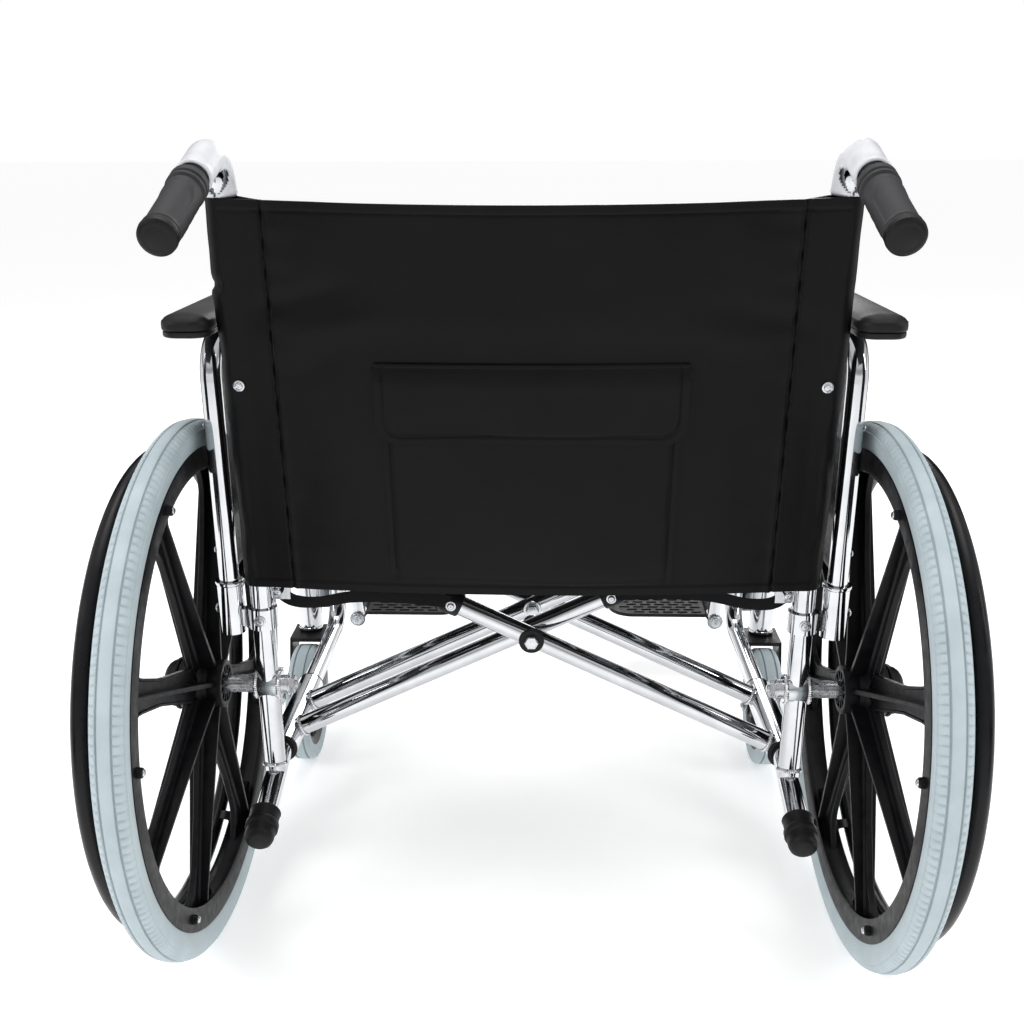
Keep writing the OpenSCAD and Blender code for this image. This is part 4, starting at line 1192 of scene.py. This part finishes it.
ring_r, ring_tube, ring_out = 0.267, 0.0095, 0.035
for side, k in sides:
    around, section = 192, 20
    centre = (k * (wheel_x + ring_out), axle_y, wheel_r)
    profile = [(ring_tube * math.sin(2 * math.pi * j / section),
                ring_r + ring_tube * math.cos(2 * math.pi * j / section)) for j in range(section + 1)]
    shapes = [turned(profile, centre, (1, 0, 0), around)]
    for i in range(6):
        a = math.radians(22.5 + 60 * i)
        out = Vector((0, math.cos(a - math.pi / 2), math.sin(a - math.pi / 2)))
        over = Vector((0, -out.z, out.y))
        foot = Vector((k * wheel_x, axle_y, wheel_r))
        path = [(0.0132, 0.264), (0.016, 0.2646), (0.019, 0.2632), (0.023, 0.2618), (0.029, 0.2618),
                (0.034, 0.2622), (0.0362, 0.263)]
        tab_points = []
        for x, r in path:
            w = 0.0085 if x < 0.018 else 0.0062
            for t, thick in ((-w, 0), (w, 0), (w, -0.0022), (-w, -0.0022)):
                tab_points.append(foot + out * (r + thick) + over * t + Vector((k * x, 0, 0)))
        ends = [[3, 2, 1, 0], [len(path) * 4 - 4 + q for q in range(4)]]
        shapes.append((tab_points, rings(len(path), 4) + ends))
        # boss on the rim and the screw's end that shows on the wheel's inner side
        boss = foot + out * 0.261
        for way, stub, count in ((k, ((0.009, 0.0086), (0.014, 0.008), (0.0146, 0.007), (0.0146, 0.0)), 24),
                                 (-k, ((0.009, 0.006), (0.019, 0.0052), (0.0196, 0.0044), (0.0196, 0.0)),
                                  20)):
            shapes.append(turned([(way * x, r) for x, r in stub], boss, (1, 0, 0), count))
        pan_head(boss + Vector((-k * 0.0198, 0, 0)), (-k, 0, 0), 0.0036, 0.0022, f"wheel_{side}",
                 f"rim_screw_{side}_{i + 1}")
    ring = set_down(f"hand_ring_{side}", *gathered(shapes), ring_coat, f"wheel_{side}", "mag", 32)
    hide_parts(f"handrim_{side}")


# ---- Casters ----
# Solid pale tyres on moulded grey cores, each in a black fork folded and welded from steel
# plate. The stem turns in the frame's housing; a through bolt and locknut carry the wheel.

fork_paint, tree, shader = worn_finish("fork_paint", (0.014, 0.014, 0.015), 0.4, 120, (0.28, 0.48),
                                       (0.005, 0.005, 0.0055), (0.01, 0.01, 0.011), 0.2, 0.0004,
                                       specular=0.25)
core_plastic, tree, shader = worn_finish("core_plastic", (0.1, 0.105, 0.115), 0.45, 90, (0.36, 0.52),
                                         (0.03, 0.031, 0.035), (0.05, 0.052, 0.057), 0.15, 0.0004,
                                         specular=0.3)

stem_x, post_y, caster_r, caster_w, trail, fork_top = 0.347, 0.44, 0.0875, 0.034, 0.058, 0.184


def hex_fixing(centre, axis, across_corners, tall, washer=0.0, domed=True):
    """A hexagon head or nut with chamfered corners on its washer."""
    shapes = []
    if washer:
        shapes.append(turned([(0, 0.002), (0, washer), (0.0011, washer), (0.0014, washer - 0.0004),
                              (0.0014, 0.002)],
                             centre, axis, 32))
    low = 0.0014 if washer else 0
    r = across_corners
    shapes.append(turned([(low, 0.001), (low, r * 0.94), (low + 0.0006, r), (low + tall - 0.0009, r),
                          (low + tall, r * 0.86),
                          (low + tall + (0.0004 if domed else -0.0012), r * 0.5),
                          (low + tall + (0.0005 if domed else -0.0012), 0)],
                         centre, axis, 6))
    if not domed:
        shapes.append(turned([(low + tall - 0.001, r * 0.46), (low + tall + 0.0016, r * 0.46),
                              (low + tall + 0.0022, r * 0.38),
                              (low + tall + 0.0022, 0)], centre, axis, 24))
    return gathered(shapes)


def strut(p, q, wide, deep, axis):
    """A tapering bar from p to q with its edges broken; wide and deep are half sizes at each end."""
    p, q = Vector(p), Vector(q)
    ahead, side_way = (q - p).normalized(), Vector(axis).normalized()
    over = ahead.cross(side_way)
    points = []
    for spot, w, d in ((p, wide[0], deep[0]), (q, wide[1], deep[1])):
        c = min(w, d) * 0.35
        corners = ((-w + c, -d), (w - c, -d), (w, -d + c), (w, d - c),
                   (w - c, d), (-w + c, d), (-w, d - c), (-w, -d + c))
        points += [spot + over * u + side_way * v for u, v in corners]
    faces = [[i, (i + 1) % 8, 8 + (i + 1) % 8, 8 + i] for i in range(8)]
    return points, faces + [list(range(8))[::-1], list(range(8, 16))]


for side, k in sides:
    centre = (k * stem_x, post_y - trail + axle_y, caster_r)
    groove = [(-0.014, 0.066), (-0.015, 0.069), (-0.0166, 0.0745), (-0.017, 0.0795), (-0.0162, 0.083),
              (-0.0146, 0.0853), (-0.012, 0.0868),
              (-0.0096, 0.0873), (-0.009, 0.0869), (-0.0086, 0.0855), (-0.0072, 0.0855), (-0.0068, 0.087),
              (-0.0062, 0.0874), (-0.0012, 0.0875)]
    tyre = set_down(f"caster_tread_{side}", *turned(groove + mirrored(groove), centre, (1, 0, 0), 120),
                    pale_rubber,
                    f"caster_{side}", "tyre", 28)
    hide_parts(f"caster_tyre_{side}")
    rim = [(-0.012, 0.0652), (-0.0128, 0.067), (-0.0136, 0.067), (-0.0138, 0.0647), (-0.0126, 0.0615),
           (-0.0098, 0.0565), (-0.009, 0.0545),
           (0, 0.0537)]
    shapes = [turned(rim + mirrored(rim[:-1]), centre, (1, 0, 0), 96)]
    hub = [(-0.019, 0.0047), (-0.019, 0.009), (-0.0182, 0.0096), (-0.0182, 0.0142), (-0.019, 0.0148),
           (-0.0188, 0.0172), (-0.017, 0.018),
           (-0.008, 0.0186), (0, 0.019)]
    shapes.append(turned(hub + mirrored(hub[:-1]), centre, (1, 0, 0), 64))
    for i in range(6):
        a = math.radians(60 * i + 15)
        out = Vector((0, math.cos(a), math.sin(a)))
        spot = Vector(centre)
        shapes.append(strut(spot + out * 0.0165, spot + out * 0.055, (0.0062, 0.0052), (0.003, 0.0026),
                            (1, 0, 0)))
        shapes.append(strut(spot + out * 0.0165, spot + out * 0.055, (0.0018, 0.0015), (0.011, 0.0082),
                            (1, 0, 0)))
    core = set_down(f"caster_centre_{side}", *gathered(shapes), core_plastic, f"caster_{side}", "core", 30)
    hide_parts(f"caster_core_{side}")
    dress(f"caster_fork_{side}", fork_paint)
    leg = caster_w / 2 + 0.008
    shapes = [turned([(-leg, 0), (-leg, 0.004), (leg, 0.004), (leg, 0)], centre, (1, 0, 0), 24),
              hex_fixing(Vector(centre) + Vector((leg + 0.0002, 0, 0)), (1, 0, 0), 0.0076, 0.005, 0.0084),
              hex_fixing(Vector(centre) - Vector((leg + 0.0002, 0, 0)), (-1, 0, 0), 0.0076, 0.005, 0.0084,
                         False)]
    bolt = set_down(f"caster_bolt_{side}", *gathered(shapes), zinc_plate, f"fork_{side}", "fastener", 30)
    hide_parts(f"caster_axle_{side}")
    stem = (k * stem_x, post_y + axle_y, 0)
    shapes = [turned([(fork_top + 0.0995, 0.0128), (fork_top + 0.1015, 0.0132), (fork_top + 0.1035, 0.0126),
                      (fork_top + 0.1052, 0.0096),
                      (fork_top + 0.1058, 0.0)], stem, (0, 0, 1), 40),
              turned([(fork_top - 0.0002, 0.015), (fork_top + 0.0006, 0.0168), (fork_top + 0.002, 0.0168),
                      (fork_top + 0.0026, 0.015)],
                     stem, (0, 0, 1), 40)]
    set_down(f"stem_cap_{side}", *gathered(shapes), cap_rubber, f"fork_{side}", "black_plastic", 30)
    lips = [turned([(fork_top + z0, 0.0182), (fork_top + z0 + 0.0005, 0.019), (fork_top + z0 + 0.003, 0.019),
                    (fork_top + z0 + 0.0036, 0.0182)],
                   stem, (0, 0, 1), 48) for z0 in (0.0036, 0.0872)]
    set_down(f"housing_rings_{side}", *gathered(lips), chrome_plate, f"{side}_frame", "chrome")


# ---- Folding cross fastenings ----
# Each half of the cross is two round tubes welded between a hinge sleeve, which turns on the low
# rail, and a loose seat rail. Two long bolts with washers and locknuts hold the halves together.

cross_r, cross_ys = 0.012, {"cross_a": (0.085, 0.155), "cross_b": (0.058, 0.182)}
mid_z = (rail_z + seat_z) / 2
rise = Vector((2 * frame_x, 0, seat_z - rail_z)).normalized()
for half, ys in cross_ys.items():
    k = 1 if half == "cross_a" else -1
    ahead = Vector((rise.x * k, 0, rise.z))
    beads = []
    for y in ys:
        for spot, off in ((Vector((-k * frame_x, y + axle_y, rail_z)), 0.0186),
                          (Vector((k * frame_x, y + axle_y, seat_z)), -0.0122)):
            beads.append(weld_ring(spot + ahead * off, ahead, cross_r + 0.0006, 0.0018, 36))
    set_down(f"{half}_welds", *gathered(beads), weld_metal, half, "chrome")
    plugs = []
    for y, way in ((0.026, -1), (0.42, 1)):
        plugs.append(turned([(0.0, 0.0085), (0.0001, 0.0112), (0.0012, 0.0115), (0.0026, 0.0108),
                             (0.0034, 0.0085), (0.0036, 0.0)],
                            (k * frame_x, y + axle_y, seat_z), (0, way, 0), 36))
    set_down(f"{half}_rail_plugs", *gathered(plugs), cap_rubber, half, "black_plastic", 30)
    # nylon bushes that show at both ends of the hinge sleeve
    bushes = [turned([(0, 0.0131), (0, 0.0172), (0.0006, 0.0177), (0.0018, 0.0177), (0.0022, 0.017),
                      (0.0022, 0.0131)],
                     (-k * frame_x, y + axle_y, rail_z), (0, way, 0), 40)
                     for y, way in ((0.0415, -1), (0.2125, 1))]
    set_down(f"{half}_bushes", *gathered(bushes), moulded_black, half, "black_plastic", 30)
    dress(half, chrome_plate)
for end, y in (("rear", 0.058), ("front", 0.155)):
    spot = Vector((0, y + axle_y, mid_z))
    near, far = -cross_r - 0.0004, 0.027 + cross_r + 0.0004
    shapes = [turned([(near - 0.006, 0), (near - 0.006, 0.005), (far + 0.006, 0.005), (far + 0.006, 0)], spot,
                     (0, 1, 0), 24),
              hex_fixing(spot + Vector((0, near, 0)), (0, -1, 0), 0.0086, 0.0062, 0.0112),
              hex_fixing(spot + Vector((0, far, 0)), (0, 1, 0), 0.0086, 0.0062, 0.0112, False)]
    bolt = set_down(f"cross_bolt_{end}", *gathered(shapes), zinc_plate, "cross_a", "fastener", 30)
    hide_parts(f"pivot_bolt_{end}")
# moulded collars where the straps are screwed to the cross, and under the rear bolt's head
for side, k in sides:
    half, y = ("cross_a", 0.085) if k > 0 else ("cross_b", 0.058)
    ahead = Vector((rise.x * k, 0, rise.z))
    spot = Vector((k * strap_x, y + axle_y, strap_z - 0.005))
    collar = turned([(-0.012, 0.0121), (-0.0118, 0.0136), (-0.01, 0.0148), (-0.004, 0.0152), (0.004, 0.0152),
                     (0.01, 0.0148),
                     (0.0118, 0.0136), (0.012, 0.0121)], spot, ahead, 40)
    set_down(f"strap_collar_{side}", *collar, moulded_black, half, "black_plastic", 30)
    pan_head(spot + Vector((0, -0.0151, 0)), (0, -1, 0), 0.0044, 0.0027, half, f"strap_screw_{side}",
             washer=0.006)
pad = turned([(-0.0012, 0.0052), (-0.0012, 0.0142), (-0.0004, 0.0148), (0.0016, 0.015), (0.0026, 0.0144),
              (0.0026, 0.0052)],
             (0, 0.058 - cross_r - 0.0016 + axle_y, mid_z), (0, 1, 0), 40)
set_down("cross_bolt_pad", *pad, moulded_black, "cross_a", "black_plastic", 30)
for side, k in sides:
    nut = hex_fixing((k * (frame_x - tube_r - 0.0105), axle_y, wheel_r), (-k, 0, 0), 0.0104, 0.007, 0.0132,
                     False)
    set_down(f"axle_nut_{side}", *nut, zinc_plate, f"{side}_frame", "fastener", 30)


# ---- Seat rail saddles ----
# Moulded nylon blocks that snap over the upper side tube; the loose seat rail drops into the
# fork of each one when the chair is opened.

for side, k in sides:
    y0, y1 = 0.344, 0.374
    shapes = []
    for i in range(7):
        swell = 0.0008 if i % 2 == 0 else -0.0004
        ya = y0 + (y1 - y0) * i / 7 + 0.0001
        yb = ya + (y1 - y0) / 7 - 0.0002
        for s in (-1, 1):
            outline = [(s * 0.0126, top_z - 0.006), (s * (0.0176 + swell), top_z - 0.006),
                       (s * (0.0182 + swell), top_z + 0.004),
                       (s * (0.0168 + swell), top_z + 0.02), (s * (0.0178 + swell), seat_z - 0.012),
                       (s * (0.0178 + swell), seat_z - 0.001),
                       (s * (0.016 + swell), seat_z + 0.0016), (s * 0.0132, seat_z + 0.0016),
                       (s * 0.0117, seat_z - 0.001),
                       (s * 0.0117, seat_z - 0.004), (s * 0.008, seat_z - 0.01), (0, seat_z - 0.013),
                       (0, top_z + 0.014),
                       (s * 0.009, top_z + 0.0105), (s * 0.0128, top_z + 0.003)]
            shapes.append(prism([(k * frame_x + u, ya + axle_y, w) for u, w in outline], (0, yb - ya, 0)))
    block = set_down(f"rail_saddle_{side}", *gathered(shapes), moulded_black, f"{side}_frame",
                     "black_plastic", 30)
    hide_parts(f"saddle_{side}")


# ---- Brakes ----
# A flat plated lever on a bracket by the front of each wheel, with a ribbed rubber grip on top
# and a knurled steel roller that is pressed into the tyre.

brake_x, brake_y, brake_z = arm_x + 0.011 + 0.006, 0.33, 0.352
shoe_out, shoe_turn = 0.305 + 0.008 + 0.02, math.radians(16)
shoe_y, shoe_z = shoe_out * math.cos(shoe_turn), wheel_r + shoe_out * math.sin(shoe_turn)
for side, k in sides:
    dress(f"brake_lever_{side}", zinc_plate)
    low = Vector((k * brake_x, brake_y + 0.0135 + axle_y, brake_z + 0.085))
    high = Vector((k * brake_x, brake_y + 0.022 + axle_y, brake_z + 0.142))
    long = (high - low).length
    profile = [(0.0, 0.004), (0.0002, 0.0086), (0.0012, 0.0094), (0.003, 0.0094)]
    profile += [(0.006 + 0.0021 * i, 0.0094 if i % 2 else 0.0083) for i in range(18)]
    profile += [(long - 0.009, 0.0095), (long - 0.005, 0.0094), (long - 0.002, 0.0082),
                (long - 0.0004, 0.0054), (long, 0.0)]
    grip = set_down(f"brake_handle_{side}", *turned(profile, low, high - low, 40), cap_rubber,
                    f"brake_{side}", "grip", 34)
    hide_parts(f"brake_grip_{side}")
    steps, inner_x, outer_x = 60, brake_x + 0.0045, wheel_x + 0.017
    points = []
    spots = [inner_x, inner_x + 0.0008, inner_x + 0.0012, *np.linspace(inner_x + 0.004, outer_x - 0.004, 12),
             outer_x - 0.0008, outer_x]
    for i, x in enumerate(spots):
        for j in range(steps):
            t = 2 * math.pi * j / steps
            r = 0.0084 if 2 < i < len(spots) - 2 and j % 2 else 0.0079
            points.append((k * x, shoe_y + r * math.cos(t) + axle_y, shoe_z + r * math.sin(t)))
    set_down(f"brake_roller_{side}", points, rings(len(spots), steps), zinc_plate, f"brake_{side}",
             "fastener", 20)
    shapes = [hex_fixing((k * (brake_x + 0.008), brake_y + axle_y, brake_z), (k, 0, 0), 0.0078, 0.0046, 0.0)]
    shapes.append(hex_fixing((k * (frame_x + 0.0202), brake_y - 0.004 + axle_y, top_z - 0.013), (k, 0, 0),
                             0.0048, 0.0032, 0.0062))
    set_down(f"brake_bolts_{side}", *gathered(shapes), zinc_plate, f"{side}_frame", "fastener", 30)
    set_down(f"brake_rivets_{side}",
             *hex_fixing((k * (brake_x + 0.0027), shoe_y + axle_y, shoe_z), (-k, 0, 0), 0.0066, 0.0072),
             zinc_plate,
             f"brake_{side}", "fastener", 30)


# ---- Footrests ----
# Bent tube hangers that hook on a pin at the front of each side frame and swing away, carrying
# flip-up footplates moulded in dark plastic with a pattern of raised grip bars.

plate_plastic, tree, shader = worn_finish("plate_plastic", (0.022, 0.022, 0.024), 0.5, 130, (0.42, 0.6),
                                          (0.006, 0.006, 0.007), (0.012, 0.012, 0.013), 0.25, 0.0004,
                                          specular=0.2)

hang_y, foot_y, foot_z, foot_l = 0.47, 0.62, 0.13, 0.176


def plate_outline(level):
    inset, rise = level
    out, inner, outer = [], 0.04 - inset, 0.006 - min(inset, 0.005)
    x0, x1 = frame_x - foot_l + inset, frame_x - 0.004 - inset
    ya, yb = foot_y + 0.017 + inset, foot_y + 0.129 - inset
    for cx, cy, r, start in ((x1 - outer, ya + outer, outer, -math.pi / 2),
                             (x1 - outer, yb - outer, outer, 0),
                             (x0 + inner, yb - inner, inner, math.pi / 2),
                             (x0 + inner, ya + inner, inner, math.pi)):
        out += [(cx + r * math.cos(start + t), cy + r * math.sin(start + t), rise)
                for t in np.linspace(0, math.pi / 2, 12)]
    return out


for side, k in sides:
    levels = [(0.006, -0.0042), (0.0045, -0.006), (0.0008, -0.006), (0.0, -0.0052), (0.0, -0.0008),
              (0.0008, 0.0), (0.0035, 0.0), (0.0048, -0.0009)]
    points, faces = layered(plate_outline, levels, 0, axle_y, foot_z)
    n = len(points) // len(levels)
    faces += [list(range(n))[::-1], list(range(len(points) - n, len(points)))]
    shapes = [(points, faces)]
    for i in range(6):
        for j in range(9):
            bx = frame_x - 0.026 - i * 0.0245 - (0.012 if j % 2 else 0)
            by = foot_y + 0.0285 + j * 0.0112
            if math.hypot(max(frame_x - foot_l + 0.04 - bx + 0.01, 0),
                          max(foot_y + 0.057 - by, by - foot_y - 0.089, 0)) > 0.034:
                continue
            shapes.append(strut((bx - 0.0085, by + axle_y, foot_z - 0.0006),
                                (bx + 0.0085, by + axle_y, foot_z - 0.0006),
                                (0.0018, 0.0018), (0.0014, 0.0014), (0, 0, 1)))
    shapes.append(turned([(0.0, 0.0065), (0.0, 0.0094), (0.0008, 0.01), (0.035, 0.01), (0.0354, 0.0093),
                          (0.0372, 0.0093), (0.0376, 0.01),
                          (0.0744, 0.01), (0.0748, 0.0093), (0.0766, 0.0093), (0.077, 0.01), (0.1112, 0.01),
                          (0.112, 0.0094), (0.112, 0.0065)],
                         (frame_x, foot_y + 0.017 + axle_y, foot_z), (0, 1, 0), 40))
    for y in (0.036, 0.073, 0.11):
        shapes.append(strut((frame_x - 0.006, foot_y + y + axle_y, foot_z - 0.005),
                            (frame_x - 0.052, foot_y + y + axle_y, foot_z - 0.006),
                            (0.002, 0.0014), (0.005, 0.0014), (0, 0, 1)))
    points, faces = gathered(shapes)
    plate = set_down(f"foot_board_{side}", [(k * p[0], p[1], p[2]) for p in points], faces, plate_plastic,
                     f"foot_{side}", "black_plastic", 30)
    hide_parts(f"footplate_{side}")
    shapes = [turned([(0, 0.0), (0, 0.0068), (0.001, 0.0072), (0.002, 0.0064), (0.0026, 0.0)],
                     (k * frame_x, foot_y + 0.1362 + axle_y, foot_z), (0, 1, 0), 30),
              hex_fixing((k * frame_x, foot_y - 0.0164 + axle_y, foot_z), (0, -1, 0), 0.008, 0.0046, 0.0104)]
    set_down(f"plate_pin_ends_{side}", *gathered(shapes), zinc_plate, f"hanger_{side}", "fastener", 30)
    bands = [weld_ring((k * frame_x, hang_y + 0.0116 + axle_y, top_z - 0.062), (0, 1, 0), 0.0114, 0.0016, 34)]
    bands += [turned([(z, 0.013), (z + 0.0004, 0.014), (z + 0.003, 0.014), (z + 0.0034, 0.013)],
                     (k * frame_x, hang_y + axle_y, 0), (0, 0, 1), 36)
              for z in (0.2796, 0.376)]
    set_down(f"hanger_rings_{side}", *gathered(bands), weld_metal, f"hanger_{side}", "chrome", 30)
